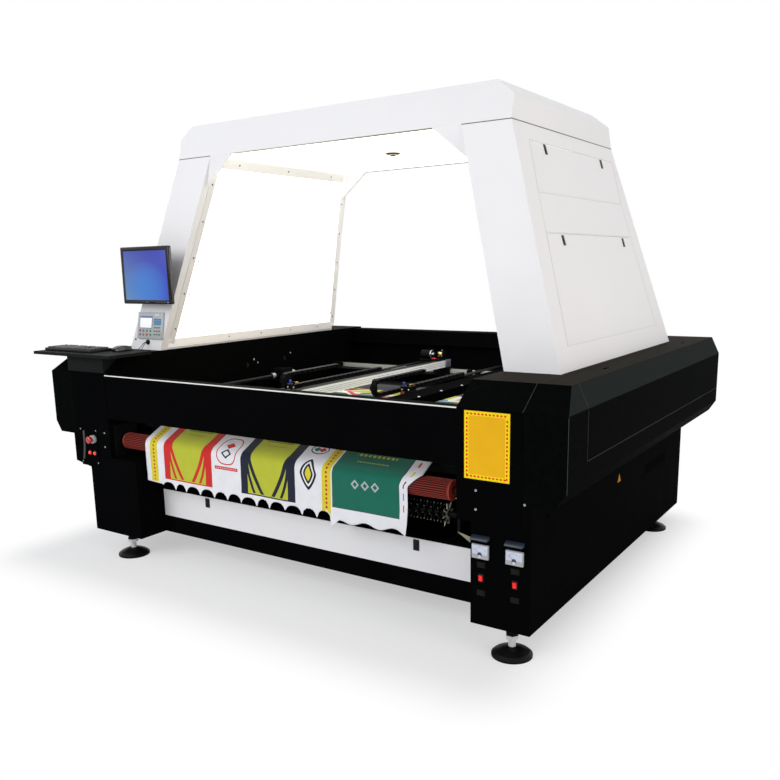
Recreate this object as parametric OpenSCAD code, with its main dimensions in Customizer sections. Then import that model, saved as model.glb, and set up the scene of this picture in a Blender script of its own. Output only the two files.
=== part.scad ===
// Fabric laser cutting machine: a black welded body with a conveyor bed, two laser gantries
// inside its tub, and a white portal over it that carries the light panels and the camera.
// X runs across the width, Y from the front face to the back, Z up from the floor.

/* [Body] */
// Outer width of the upper body
body_w = 3010; // [2900:10:3200]
// Depth of the upper body
body_d = 2320; // [2280:10:2500]
// Width of the tub between its side walls
tub_w = 2104; // [2080:2:2200]
// Height of the flat deck above the floor
deck_z = 1085; // [1080:1:1110]
// Height of the slopes under the deck's edge
slope_h = 92; // [60:1:110]
// Run of the slope at the sides
side_slope = 43; // [20:1:60]
// Run of the slope at the front
front_slope = 128; // [110:1:150]
// Height of the body's underside above the floor
underside_z = 655; // [645:1:665]
// Height of the chamfer under the side
chamfer_h = 59; // [30:1:80]
// Width of the chamfer under the side
chamfer_w = 37; // [20:1:60]
// Thickness of the casing sheet
sheet = 3; // [2:0.5:4]
// Seam between a cover and its frame
seam = 1.5; // [1:0.25:3]
// Running gap at a hinged edge
hinge_gap = 0.3; // [0.2:0.05:0.8]

/* [Pedestals] */
// Depth of both pedestals
pedestal_d = 2100; // [2060:10:2200]
// Height of the feet under the pedestals
foot_h = 125; // [110:1:140]
// Outer face of the right pedestal from the middle
right_outer = 1370; // [1350:1:1400]
// Width of the right pedestal
right_w = 255; // [230:1:280]
// Outer face of the left pedestal from the middle
left_outer = 1230; // [1200:1:1250]
// Width of the left pedestal
left_w = 371; // [340:1:400]
// Height of the left pedestal's shelf above the floor
shelf_z = 545; // [520:1:560]
// Setback of the lower front behind the pedestals
recess = 171; // [150:1:190]
// Height of the lower beams
low_beam_h = 92; // [70:1:110]
// Height of the white front panel
panel_h = 146; // [120:1:160]

/* [Feet] */
// Diameter of a foot pad
pad_d = 165; // [120:1:180]
// Height of a foot pad
pad_h = 40; // [30:1:45]
// Diameter of a foot's stud
stud_d = 30; // [20:1:36]
// Distance of a foot from the pedestal's end
foot_inset = 60; // [50:1:120]

/* [Conveyor] */
// Height of the belt's upper face
belt_z = 745; // [735:1:750]
// Gap between the mesh belt's edge and the tub's wall
belt_gap = 102; // [75:1:200]
// Thickness of the mesh belt
belt_t = 5; // [3:0.5:6]
// Radius of the drums inside the belt
drum_r = 39.7; // [35:0.1:40]
// Place of the front drum behind the front face
front_drum_y = 240; // [230:1:280]
// Place of the rear drum behind the front face
rear_drum_y = 2080; // [2000:1:2110]
// Radius of the drum and roller shafts
shaft_r = 15; // [10:0.5:18]
// Radial clearance of a shaft in its bearing
shaft_gap = 0.05; // [0.02:0.01:0.1]

/* [Feed roller] */
// Radius of the ribbed roller over its ribs
roller_r = 44; // [36:0.5:48]
// Number of ribs along the roller
rib_count = 28; // [16:1:36]
// Height of a rib
rib_h = 5; // [3:0.5:7]
// Gap between the tub's left wall and the roller
roller_left_gap = 35; // [32:1:70]
// Gap between the tub's right wall and the roller
roller_right_gap = 71; // [52:1:110]
// Place of both front shafts behind the front face
roller_y = 100; // [95:1:110]
// Height of the roller's axis
roller_z = 629; // [620:1:640]
// Height of the spiked shaft's axis
spike_z = 526; // [515:1:530]
// Radius of a star wheel over its points
star_r = 42; // [34:0.5:42]
// Number of star wheels
star_count = 56; // [12:1:60]

/* [Fabric] */
// Left edge of the printed fabric from the middle
fabric_left = 842; // [800:1:850]
// Right edge of the printed fabric from the middle
fabric_right = 765; // [700:1:800]
// Distance of the fabric's rear end from the rear drum's axis
fabric_end_gap = 270; // [200:1:400]
// Thickness of the fabric
fabric_t = 2; // [1:0.5:3]
// Height of the hem's lowest points
hem_z = 414; // [405:1:470]
// Clearance of the fabric over what it lies on
soft_gap = 0.4; // [0.3:0.1:1]
// Number of scallops along the hem
scallop_count = 14; // [8:1:18]

/* [Gantries] */
// Place of the first gantry from the middle
gantry_1_x = -160; // [-200:1:-120]
// Place of the second gantry from the middle
gantry_2_x = 460; // [440:1:480]
// Width of the first gantry's beam
beam_1_w = 70; // [60:1:80]
// Width of the second gantry's covered beam
beam_2_w = 130; // [110:1:136]
// Height of a gantry beam
beam_h = 44; // [36:1:60]
// Height of the gantry beams' underside
beam_z = 864; // [864:1:870]
// Place of the front rail
front_rail_y = 105; // [100:1:110]
// Distance of the rear rail from the tub's rear wall
rear_rail_gap = 200; // [180:1:220]
// Place of the cutting heads along the beams
head_y = 590; // [560:1:1000]
// Distance of the drive shafts from the tub's walls
drive_gap = 67; // [52:1:82]
// Height of the drive shafts' axes
drive_z = 845; // [843:1:845]

/* [Towers] */
// Outer face of a tower at the deck
tower_out_low = 1312; // [1290:1:1330]
// Inner face of a tower at the deck
tower_in_low = 1060; // [1055:1:1075]
// Outer face of a tower at its top
tower_out_top = 998; // [980:1:1020]
// Inner face of a tower at its top
tower_in_top = 760; // [740:1:780]
// Front of a tower at the deck
tower_front_low = 394; // [380:1:420]
// Rear of a tower at the deck
tower_rear_low = 1967; // [1940:1:1990]
// Front of a tower at its top
tower_front_top = 572; // [560:1:600]
// Rear of a tower at its top
tower_rear_top = 1806; // [1780:1:1820]
// Height of the towers' tops above the floor
tower_z = 2120; // [2110:1:2200]

/* [Cap] */
// Height of the cap
cap_h = 168; // [150:1:200]
// Height of the cap's upright side
cap_side_h = 102; // [80:1:120]
// Run of the cap's side chamfer
cap_chamfer = 81; // [60:1:100]
// Height of the ceiling panel over the cap's lower rim
ceiling_rise = 60; // [40:1:80]
// Width of a gusset
gusset_w = 147; // [120:1:170]
// Height of a gusset
gusset_h = 156; // [130:1:180]

/* [Operator place] */
// Width of the keyboard tray
tray_w = 645; // [620:1:680]
// Left end of the tray from the middle
tray_left = 1600; // [1580:1:1620]
// Depth of the tray
tray_d = 277; // [270:1:280]
// Overhang of the tray in front of the body
tray_front = 37; // [20:1:60]
// Thickness of the tray
tray_t = 16; // [10:1:20]
// Width of the monitor
monitor_w = 394; // [360:1:420]
// Height of the monitor
monitor_h = 311; // [290:1:340]
// Width of the keypad
keypad_w = 206; // [180:1:210]
// Height of the keypad
keypad_h = 150; // [120:1:160]

/* [Hidden] */
$fn = 48;

// Places that follow from the driving sizes
tub_x = tub_w / 2;
side_x = body_w / 2;
slope_z = deck_z - slope_h;
tower_h = tower_z - deck_z;
centre_x = (side_x - tray_left) / 2;
estop_reach = 44;
centre_y = (body_d - max(tray_front, estop_reach)) / 2;
right_inner = right_outer - right_w;
left_inner = left_outer - left_w;
low_beam_top = foot_h + low_beam_h;
cover_w = 276;
cover_x = tub_x + cover_w;
cover_low_z = 547;
belt_w = tub_w - 2 * belt_gap;
roller_left = tub_x - roller_left_gap;
roller_right = tub_x - roller_right_gap;
drive_x = tub_x - drive_gap;
estop_plate_top = underside_z + 41;

// Side covers
lid_x = side_x - 160;
lid_z = 792;
lid_front_right = 200;
lid_front_left = tray_d - tray_front + 12;
latch_slot = [14, 52];
latch_x = side_x - 103;
latch_ys = [661, body_d - 424];

// Front and rear beams of the tub
beam_bottom_z = 762;
lip_t = 8;
tub_beam_d = 60;
tub_beam_t = 4;
rear_wall_d = 120;
rear_wall_y = body_d - rear_wall_d;
rear_rail_y = rear_wall_y - rear_rail_gap;
rear_wall_top = deck_z - 9;
ledge_z = 985;
ledge_d = 50;
ledge_t = 10;

// Bearings and bracket plates
plate_t = 12;
bracket_y = [30, 175];
bracket_low = 470;
bracket_top = 722;
bearing_w = 14;
bearing_r = 32;
hole_r = 22;
block_half = 30;
block_w = 22;
shaft_end = tub_x - 4;
drum_z = belt_z - belt_t - drum_r - 0.3;
drum_half = belt_w / 2 + 5;
spike_shaft_r = 12.5;

// Bed
slat = 30;
slat_pitch = 180;
first_slat_y = front_drum_y + 80;
bed_rail_w = 44;
bed_rail_h = 40;

// Rails and drives
support_t = 8;
rail_w = 20;
rail_h = 26;
rail_base_z = 824;
front_support_end = 190;
rear_support_start = rear_rail_y - 90;
rail_end = tub_x - 12;
drive_r = 10;
pulley_r = 16;
timing_t = 1.7;
timing_w = 12;
timing_gap = 0.3;
front_belt_y = front_rail_y + 33;
rear_belt_y = rear_rail_y - 33 - timing_w;
idler_1_x = 60;
idler_2_x = 120;
carriage_w = 120;
carriage_d = 56;
fit_gap = 0.3;
beam_front = front_rail_y - 30;
beam_rear = rear_rail_y + 30;
head_rail = [12, 15];
motor_r = 28;
motor_l = 70;
motor_y = 1330;
shaft_motor_h = 46;

// Doors, in height above the floor and place along the side
upper_door_z = [1826, 2043];
upper_door_y = [658, 1732, 1755, 705];
lower_door_z = [1190, 1651];
lower_door_y = [545, 1798, 1722, 625];
upper_latches = [[855, 2019], [1576, 2019]];
lower_latches = [[794, 1622], [1608, 1622]];
latch_size = [20, 36];
wall_tilt = atan((tower_out_low - tower_out_top) / tower_h);
inner_tilt = atan((tower_in_low - tower_in_top) / tower_h);
face_tilt = atan((tower_front_top - tower_front_low) / tower_h);

// Light panels
light_t = 2.5;
light_z = [1145, 2066];
light_y = [490, 1932, 1751, 655];
light_screw_rows = 5;
camera_d = 80;
camera_x = 0;
camera_y = 1190;

// Operator place
monitor_x = -1083;
monitor_z = 1500;
monitor_back_y = 392;
monitor_d = 24;
keypad_x = -1248;
keypad_z = 1146;
keypad_t = 12;
port_x = -1165;
port_z = 1128;
tray_top = deck_z + tray_t;

// Controls at the right front
meter_xs = [1162, 1307];
meter_z = 433;
meter_size = [71, 12, 56];
hood_z = 482;
socket_zs = [376, 260];
rocker_z = 323;

// Controls at the left front
estop = [-1184, 638];
button_xs = [-1208, -1168];
button_z = 563;
stem_r = 9;
stem_gap = 0.1;

// Cords run from the port under the keypad to the tray
mouse_cable_path = [
    [-1160, 394, 1128], [-1160, 388, 1128], [-1160, 380, 1126.5], [-1159.5, 372, 1122.5],
    [-1159, 365, 1116.5], [-1158, 358, 1108.5], [-1156, 350, 1100], [-1153, 341, 1093],
    [-1150, 331, 1089], [-1147, 320, 1087.5], [-1143, 308, 1087.5], [-1138, 296, 1088],
    [-1133, 284, 1090], [-1128.5, 272, 1094.5], [-1125.5, 260, 1100], [-1124, 249, 1104],
    [-1124, 239.5, 1105]
];
keyboard_cable_path = [
    [-1171, 394, 1128], [-1171, 387, 1128], [-1171, 379, 1126], [-1171.5, 371, 1121.5],
    [-1172, 363, 1114.5], [-1173, 355, 1106.5], [-1175, 346, 1098.5], [-1178, 336, 1092],
    [-1182, 324, 1088.5], [-1188, 310, 1087.5], [-1195, 296, 1088], [-1203, 282, 1090.5],
    [-1212, 268, 1095.5], [-1222, 255, 1100.5], [-1233, 243, 1104], [-1246, 232, 1104.5],
    [-1260, 222, 1104], [-1274, 212, 1104], [-1287, 201, 1104], [-1297, 190, 1104.5],
    [-1303, 178, 1106], [-1306, 165.5, 1108]
];
cable_r = 1.9;

// Helpers

// Puts a sub-part into the shared frame
module place() translate([-centre_x, -centre_y, 0]) children();

// An outline in X and Z drawn along Y
module along_y(points, y0, y1)
    translate([0, y1, 0]) rotate([90, 0, 0]) linear_extrude(y1 - y0) polygon(points);

// An outline in Y and Z drawn along X
module along_x(points, x0, x1)
    translate([x0, 0, 0]) rotate([90, 0, 90]) linear_extrude(x1 - x0) polygon(points);

// A box between two corners
module block(a, b) translate(a) cube(b - a);

// A round bar along X from x0 to x1
module bar_x(r, x0, x1) translate([x0, 0, 0]) rotate([0, 90, 0]) cylinder(r = r, h = x1 - x0);

// A round bar along Y from y0 to y1
module bar_y(r, y0, y1) translate([0, y0, 0]) rotate([-90, 0, 0]) cylinder(r = r, h = y1 - y0);

// A rectangular tube along X, open at both ends
module tube_x(a, b, wall) difference() {
    block(a, b);
    block([a.x - 1, a.y + wall, a.z + wall], [b.x + 1, b.y - wall, b.z - wall]);
}

// Mirrors a right-hand sub-part to the left when side is -1
module side_of(side) mirror([side < 0 ? 1 : 0, 0, 0]) children();

// Outlines of the upper body, inset by t
function upper_outline(t) = [
    [tub_x + t, underside_z + t],
    [side_x - chamfer_w - t * 0.5, underside_z + t],
    [side_x - t, underside_z + chamfer_h + t * 0.5],
    [side_x - t, slope_z - t * 0.2],
    [side_x - side_slope - t * 0.6, deck_z - t],
    [tub_x + t, deck_z - t]
];
function end_outline(t) = [
    [t, underside_z - 1],
    [t, slope_z - t * 0.5],
    [front_slope + t * 0.5, deck_z + t * 0.1],
    [body_d - t, deck_z + t * 0.1],
    [body_d - t, underside_z - 1]
];

module upper_solid(t) intersection() {
    along_y(upper_outline(t), -1, body_d + 1);
    along_x(end_outline(t), tub_x - 1, side_x + 1);
}

module upper_shell() difference() {
    upper_solid(0);
    upper_solid(sheet);
}

// The space that a side cover closes, inset by t and by the gap at its hinged lower edge
module lid_zone(lid_front, t, low_gap)
    block([lid_x + t, lid_front + t, lid_z + low_gap], [side_x + 10, body_d + 10, deck_z + 10]);

// Pedestals

vent_ys = [for (i = [0:11]) 1420 + i * 32];
vent_z = [450, 500];
vent_w = 12;

// Slots through a pedestal's outer sheet at x
module vents(x) for (y = vent_ys)
    block([x - sheet - 1, y, vent_z[0]], [x + sheet + 1, y + vent_w, vent_z[1]]);

module left_pedestal() color("#16171a") place() {
    difference() {
        along_y(left_outline(0), 0, pedestal_d);
        along_y(left_outline(sheet), sheet, pedestal_d - sheet);
        vents(-left_outer);
    }
}

function left_outline(t) = [
    [-left_outer + t, foot_h + t], [-left_inner - t, foot_h + t],
    [-left_inner - t, shelf_z - t], [-tub_x - t, shelf_z - t],
    [-tub_x - t, underside_z - t], [-left_outer + t, underside_z - t]
];

door_y = [135, 900];
door_z = [229, 584];

module right_pedestal() color("#16171a") place() {
    difference() {
        block([right_inner, 0, foot_h], [right_outer, pedestal_d, underside_z]);
        block([right_inner + sheet, sheet, foot_h + sheet],
              [right_outer - sheet, pedestal_d - sheet, underside_z - sheet]);
        block([right_outer - sheet - 1, door_y[0], door_z[0]],
              [right_outer + 1, door_y[1], door_z[1]]);
        vents(right_outer);
    }
}

module pedestal_door() color("#17181b") place() {
    block([right_outer - sheet, door_y[0] + seam, door_z[0] + seam],
          [right_outer, door_y[1] - hinge_gap, door_z[1] - seam]);
    translate([right_outer, door_y[0] + 26, door_z[1] - 22]) bar_x(9, 0, 5);
}

// Upper body: the long casings on both sides of the tub, with the tube supports inside
tube_r = 40;
tube_x_at = side_x - 95;
tube_z = 880;
tube_y = [320, 1920];
support_ys = [520, 1690];
support_half = 50;

module upper_body(side, lid_front) side_of(side) {
    difference() {
        upper_shell();
        lid_zone(lid_front, 0, 0);
    }
    for (y = support_ys) difference() {
        block([tube_x_at - support_half, y - 15, underside_z + sheet],
              [tube_x_at + support_half, y + 15, tube_z + 5]);
        translate([tube_x_at, 0, tube_z]) bar_y(tube_r + fit_gap, y - 16, y + 16);
    }
}

module left_upper_body() color("#1a1c1e") place() upper_body(-1, lid_front_left);
module right_upper_body() color("#1a1c1e") place() upper_body(1, lid_front_right);

module side_cover(side, lid_front) side_of(side) difference() {
    intersection() {
        upper_shell();
        lid_zone(lid_front, seam, hinge_gap);
    }
    for (y = latch_ys)
        block([latch_x - latch_slot[0] / 2, y - latch_slot[1] / 2, deck_z - sheet - 1],
              [latch_x + latch_slot[0] / 2, y + latch_slot[1] / 2, deck_z + 1]);
}

module left_side_cover() color("#1f2123") place() side_cover(-1, lid_front_left);
module right_side_cover() color("#1f2123") place() side_cover(1, lid_front_right);

module laser_tubes() color("#c8dce4") place() for (side = [-1, 1]) side_of(side)
    translate([tube_x_at, 0, tube_z]) {
        bar_y(tube_r, tube_y[0], tube_y[1]);
        bar_y(12, tube_y[0] - 60, tube_y[0]);
        bar_y(12, tube_y[1], tube_y[1] + 60);
    }

cover_t = 2.5;
module column_covers() color("#141518") place() {
    block([tub_x + 1, -cover_t, cover_low_z], [cover_x, 0, slope_z - 3]);
    block([-cover_x, -cover_t, estop_plate_top + 3], [-tub_x - 1, 0, slope_z - 3]);
}

// Beams that close the tub at the front and the rear

module front_beam() color("#121315") place()
    tube_x([-tub_x, 0, beam_bottom_z], [tub_x, tub_beam_d, slope_z - lip_t], tub_beam_t);

module front_lip() color("#b9bec4") place()
    block([-tub_x, 0, slope_z - lip_t], [tub_x, tub_beam_d, slope_z]);

module rear_beam() color("#121315") place() {
    tube_x([-tub_x, rear_wall_y, beam_bottom_z], [tub_x, body_d, rear_wall_top], tub_beam_t);
    block([-tub_x, rear_wall_y - ledge_d, ledge_z], [tub_x, rear_wall_y, ledge_z + ledge_t]);
}

// Lower beams between the pedestals, with the chute sheet that guides the cut fabric down
upper_rail_h = 30;
chute_back = 420;
chute_rise = 118;

module lower_beams() color("#0f1012") place() {
    panel_top = low_beam_top + panel_h + 4;
    tube_x([-left_inner, recess, foot_h],
           [right_inner, recess + tub_beam_d, low_beam_top], tub_beam_t);
    tube_x([-left_inner, pedestal_d - recess - tub_beam_d, foot_h],
           [right_inner, pedestal_d - recess, low_beam_top], tub_beam_t);
    tube_x([-left_inner, recess + 2 * sheet, panel_top - upper_rail_h],
           [right_inner, recess + 2 * sheet + upper_rail_h, panel_top], sheet);
    along_x([[recess + 2 * sheet, panel_top], [chute_back, panel_top + chute_rise],
             [chute_back, panel_top + chute_rise + sheet], [recess + 2 * sheet, panel_top + sheet]],
            -left_inner, right_inner);
}

panel_latch_xs = [-535, 744];
panel_latch = [28, 48];
module front_panel() {
    low = low_beam_top + hinge_gap;
    high = low + panel_h;
    latch_z = high - 6 - panel_latch[1];
    color("#e9e8ee") place() difference() {
        block([-left_inner + 3, recess, low], [right_inner - 3, recess + sheet, high]);
        for (x = panel_latch_xs)
            block([x, recess - 1, latch_z],
                  [x + panel_latch[0], recess + sheet + 1, latch_z + panel_latch[1]]);
    }
    color("#101113") place() for (x = panel_latch_xs)
        block([x, recess - 1, latch_z],
              [x + panel_latch[0], recess + sheet, latch_z + panel_latch[1]]);
}

// Bearings: bracket plates with flange bearings at the front, blocks at both drums

module bearing_blocks() color("#1b1c1f") place() {
    for (side = [-1, 1]) side_of(side) side_bearings(side < 0 ? shelf_z : bracket_low);
    mirror([1, 0, 0]) flange_bearing(left_inner, spike_z, spike_shaft_r);
    flange_bearing(tub_x - plate_t, spike_z, spike_shaft_r);
}

module side_bearings(low) {
    difference() {
        block([tub_x - plate_t, bracket_y[0], low], [tub_x, bracket_y[1], bracket_top]);
        for (z = [roller_z, spike_z])
            translate([0, roller_y, z]) bar_x(hole_r, tub_x - plate_t - 1, tub_x + 1);
    }
    flange_bearing(tub_x - plate_t, roller_z, shaft_r);
    for (y = [front_drum_y, rear_drum_y]) difference() {
        block([tub_x - block_w, y - block_half, drum_z - block_half],
              [tub_x, y + block_half, drum_z + block_half]);
        translate([0, y, drum_z]) bar_x(shaft_r + shaft_gap, tub_x - block_w - 1, tub_x + 1);
    }
}

// A bearing that stands on a wall at x and faces the middle
module flange_bearing(x, z, r) translate([x, roller_y, z]) difference() {
    bar_x(bearing_r, -bearing_w, 0);
    bar_x(r + shaft_gap, -bearing_w - 1, 1);
}

// Ribbed roller that pulls the fabric off the bed

module feed_roller() color("#8e3b32") place() translate([0, roller_y, roller_z]) {
    end_t = 6;
    root = roller_r - rib_h;
    tip = roller_r - 0.5;
    step = 360 / rib_count;
    outline = [for (i = [0:rib_count - 1]) each [
        [root * cos(i * step), root * sin(i * step)],
        [tip * cos((i + 0.15) * step), tip * sin((i + 0.15) * step)],
        [tip * cos((i + 0.55) * step), tip * sin((i + 0.55) * step)],
        [root * cos((i + 0.7) * step), root * sin((i + 0.7) * step)]
    ]];
    along_x(outline, -roller_left + end_t, roller_right - end_t);
    bar_x(roller_r, -roller_left, -roller_left + end_t);
    bar_x(roller_r, roller_right - end_t, roller_right);
    bar_x(shaft_r, -shaft_end, -roller_left);
    bar_x(shaft_r, roller_right, shaft_end);
}

module spiked_shaft() color("#2a2c2c") place() translate([0, roller_y, spike_z]) {
    points = 8;
    star_t = 4;
    first = -left_inner + bearing_w + 16;
    last = roller_right - 24;
    pitch = (last - first) / (star_count - 1);
    outline = [for (i = [0:2 * points - 1])
        let (r = i % 2 == 0 ? star_r : spike_shaft_r + 8)
        [r * cos(i * 180 / points), r * sin(i * 180 / points)]];
    bar_x(spike_shaft_r, -left_inner + 1, shaft_end);
    for (i = [0:star_count - 1])
        along_x(outline, first + i * pitch - star_t / 2, first + i * pitch + star_t / 2);
}

// Conveyor: two drums, the mesh belt round them and the slatted bed inside the belt

module drum(y) translate([0, y, drum_z]) {
    bar_x(drum_r, -drum_half, drum_half);
    bar_x(shaft_r, -shaft_end, shaft_end);
}

module front_drum() color("#8a8f94") place() drum(front_drum_y);
module rear_drum() color("#8a8f94") place() drum(rear_drum_y);

// A belt outline in 2D round two wheels of radius r, the second one at distance l
module racetrack(r, l) {
    circle(r = r);
    translate([l, 0]) circle(r = r);
    translate([0, -r]) square([l, 2 * r]);
}

module mesh_belt() color("#3c3f42") place()
    translate([-belt_w / 2, front_drum_y, drum_z]) rotate([90, 0, 90]) linear_extrude(belt_w)
        difference() {
            racetrack(belt_z - drum_z, rear_drum_y - front_drum_y);
            racetrack(belt_z - belt_t - drum_z, rear_drum_y - front_drum_y);
        }

module bed_frame() color("#5a5e62") place() {
    top = belt_z - belt_t;
    bed_end = rear_drum_y - 40;
    for (side = [-1, 1]) side_of(side)
        block([tub_x - bed_rail_w, front_drum_y + 60, top - bed_rail_h], [tub_x, bed_end, top]);
    for (y = [first_slat_y:slat_pitch:bed_end - slat])
        tube_x([-tub_x + bed_rail_w, y, top - slat], [tub_x - bed_rail_w, y + slat, top], sheet);
}

// Printed fabric: flat on the belt, then over the roller and down to a scalloped hem

module printed_fabric() color("#cfd23a") place() {
    r_in = roller_r + soft_gap;
    r_drum = belt_z + soft_gap - drum_z;
    span = [front_drum_y - roller_y, drum_z - roller_z];
    turn = atan2(span.y, span.x) + acos((r_drum - r_in) / norm(span));
    steps = 8;
    over_drum = [for (i = [0:steps]) 90 + (turn - 90) * i / steps];
    over_roller = [for (i = [0:steps]) turn + (180 - turn) * i / steps];
    rear = rear_drum_y - fabric_end_gap;
    low = hem_z;
    inner = concat([[rear, belt_z + soft_gap]], arc(front_drum_y, drum_z, r_drum, over_drum),
                   arc(roller_y, roller_z, r_in, over_roller), [[roller_y - r_in, low]]);
    outer = concat([[rear, belt_z + soft_gap + fabric_t]],
                   arc(front_drum_y, drum_z, r_drum + fabric_t, over_drum),
                   arc(roller_y, roller_z, r_in + fabric_t, over_roller),
                   [[roller_y - r_in - fabric_t, low]]);
    pitch = (fabric_left + fabric_right - 70) / scallop_count;
    difference() {
        along_x(concat(inner, [for (i = [len(outer) - 1:-1:0]) outer[i]]),
                -fabric_left, fabric_right);
        for (i = [0:scallop_count - 1])
            translate([-fabric_left + (i + 0.5) * pitch + 8, 0, low - 20])
                bar_y(pitch / 2 + 2, 0, roller_y - 10);
    }
}

// Points of an arc in Y and Z
function arc(y, z, r, angles) = [for (a = angles) [y + r * cos(a), z + r * sin(a)]];

// Rails along the front and the rear of the tub

module x_rails() color("#4a4d50") place() {
    base = rail_base_z - support_t;
    block([-tub_x, tub_beam_d, base], [tub_x, front_support_end, rail_base_z]);
    block([-tub_x, rear_support_start, base], [tub_x, rear_wall_y, rail_base_z]);
    for (y = [front_rail_y, rear_rail_y])
        block([-rail_end, y - rail_w / 2, rail_base_z],
              [rail_end, y + rail_w / 2, rail_base_z + rail_h]);
}

// Drive shafts along Y with a pulley at each end

module drive_shaft(side) translate([side * drive_x, 0, drive_z]) {
    bar_y(drive_r, front_belt_y - 4, rear_belt_y + timing_w + 4);
    for (y = [front_belt_y, rear_belt_y]) {
        bar_y(pulley_r, y, y + timing_w);
        bar_y(pulley_r + 4, y - 2, y);
        bar_y(pulley_r + 4, y + timing_w, y + timing_w + 2);
    }
    for (y = [motor_y - 110, motor_y + 80]) bar_y(drive_r + 8, y, y + 30);
}

module left_drive_shaft() color("#c9ccd0") place() drive_shaft(-1);
module right_drive_shaft() color("#c9ccd0") place() drive_shaft(1);

module drive_units() {
    color("#33363a") place() for (side = [-1, 1]) {
        idler_x = side < 0 ? idler_1_x : idler_2_x;
        for (y = [front_support_end - 30, rear_support_start + 10])
            translate([side * drive_x, y, drive_z]) difference() {
                block([-20, 0, rail_base_z - drive_z], [20, 18, 22]);
                bar_y(drive_r + shaft_gap, -1, 19);
            }
        translate([side * drive_x, motor_y, drive_z]) difference() {
            union() {
                block([-45, -50, -38], [45, 50, 40]);
                side_of(side) block([44, -40, -20], [tub_x - drive_x, 40, -12]);
                translate([0, 0, -38 - shaft_motor_h]) cylinder(r = 34, h = shaft_motor_h);
            }
            bar_y(drive_r + shaft_gap, -51, 51);
        }
        for (y = [front_belt_y, rear_belt_y]) translate([idler_x, 0, drive_z]) {
            bar_y(pulley_r, y, y + timing_w);
            bar_y(5, y - 4, y + timing_w + 4);
            for (dy = [-12, timing_w + 4])
                block([-12, y + dy, rail_base_z - drive_z], [12, y + dy + 8, 12]);
        }
    }
    color("#141414") place() for (side = [-1, 1], y = [front_belt_y, rear_belt_y]) {
        from = side < 0 ? -drive_x : idler_2_x;
        to = side < 0 ? idler_1_x : drive_x;
        translate([from, y + timing_w, drive_z]) rotate([90, 0, 0]) linear_extrude(timing_w)
            difference() {
                racetrack(pulley_r + timing_gap + timing_t, to - from);
                racetrack(pulley_r + timing_gap, to - from);
            }
    }
}

// Gantries: a beam across the depth, its carriages and head rail, and the cutting head

module gantry_beam(x, w) translate([x, 0, 0]) difference() {
    block([-w / 2, beam_front, beam_z], [w / 2, beam_rear, beam_z + beam_h]);
    block([-w / 2 + sheet, beam_front - 1, beam_z + sheet],
          [w / 2 - sheet, beam_rear + 1, beam_z + beam_h - sheet]);
}

module gantry_1_beam() color("#e4e6ea") place() gantry_beam(gantry_1_x, beam_1_w);
module gantry_2_beam() color("#26282b") place() gantry_beam(gantry_2_x, beam_2_w);

chain_y = [620, 1500];
chain_bend = 34;
link_l = 22;
tray_sheet = 4;
chain_tray_w = 40;
rear_plate_w = 150;

// What a gantry carries besides its head; the cable chain lies dx away from the beam's middle
module gantry_fittings(x, w, dx) translate([x, 0, 0]) {
    rail_top = rail_base_z + rail_h;
    for (y = [front_rail_y, rear_rail_y]) difference() {
        block([-carriage_w / 2, y - carriage_d / 2, rail_base_z + 4],
              [carriage_w / 2, y + carriage_d / 2, beam_z]);
        block([-carriage_w / 2 - 1, y - rail_w / 2 - fit_gap, rail_base_z],
              [carriage_w / 2 + 1, y + rail_w / 2 + fit_gap, rail_top + fit_gap]);
    }
    clamp_z = drive_z + pulley_r + timing_gap + timing_t + fit_gap;
    for (y = [front_belt_y, rear_belt_y]) block([-18, y, clamp_z], [18, y + timing_w, beam_z]);
    translate([-w / 2 - head_rail[0], beam_front + 40, beam_z + 12])
        cube([head_rail[0], beam_rear - beam_front - 80, head_rail[1]]);
    head_drive(w);
    chain_tray(w, dx);
    translate([dx, 0, 0]) chain();
}

// The motor and the mirror holder that stand on the beam's rear end
module head_drive(w) {
    top = beam_z + beam_h;
    plate = 8;
    y = beam_rear - 50;
    block([w / 2 - rear_plate_w - 35, y - 36, top], [w / 2, y + 36, top + plate]);
    translate([0, y, top + plate + motor_r])
        bar_x(motor_r, w / 2 - rear_plate_w - 30, w / 2 - rear_plate_w - 30 + motor_l);
    block([w / 2 - 44, y - 16, top + plate], [w / 2 - 14, y + 16, top + plate + 52]);
    translate([w / 2 - 29, 0, top + plate + 34]) bar_y(14, y - 24, y - 16);
}

// A tray along the beam that holds the cable chain, carried by the beam at both ends
module chain_tray(w, dx) {
    z0 = beam_z + beam_h / 2;
    block([dx - chain_tray_w / 2, beam_front + 44, z0],
          [dx + chain_tray_w / 2, beam_rear - 44, z0 + tray_sheet]);
    near = dx < 0 ? -w / 2 : w / 2;
    for (y = [beam_front + 10, beam_rear - 44])
        block([min(near, dx - chain_tray_w / 2), y, z0],
              [max(near, dx + chain_tray_w / 2), y + 34, z0 + tray_sheet]);
}

// A cable chain that lies in its tray, turns over and runs back above itself
module chain() {
    base = beam_z + beam_h / 2 + tray_sheet + 9;
    count = floor((chain_y[1] - chain_y[0]) / link_l);
    bend_links = 5;
    for (i = [0:count - 1]) chain_link(chain_y[0] + (i + 0.5) * link_l, base, 0, i);
    for (i = [0:bend_links - 1]) let (a = 90 + 180 * (i + 0.5) / bend_links)
        chain_link(chain_y[0] + chain_bend * cos(a), base + chain_bend + chain_bend * sin(a),
                   a - 90, i);
    for (i = [0:count / 2 - 1])
        chain_link(chain_y[0] + (i + 0.5) * link_l, base + 2 * chain_bend, 0, i + 1);
}

module chain_link(y, z, turn, i) translate([0, y, z]) rotate([turn, 0, 0])
    cube([i % 2 == 0 ? 34 : 26, link_l + 1, 17], center = true);

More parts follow.
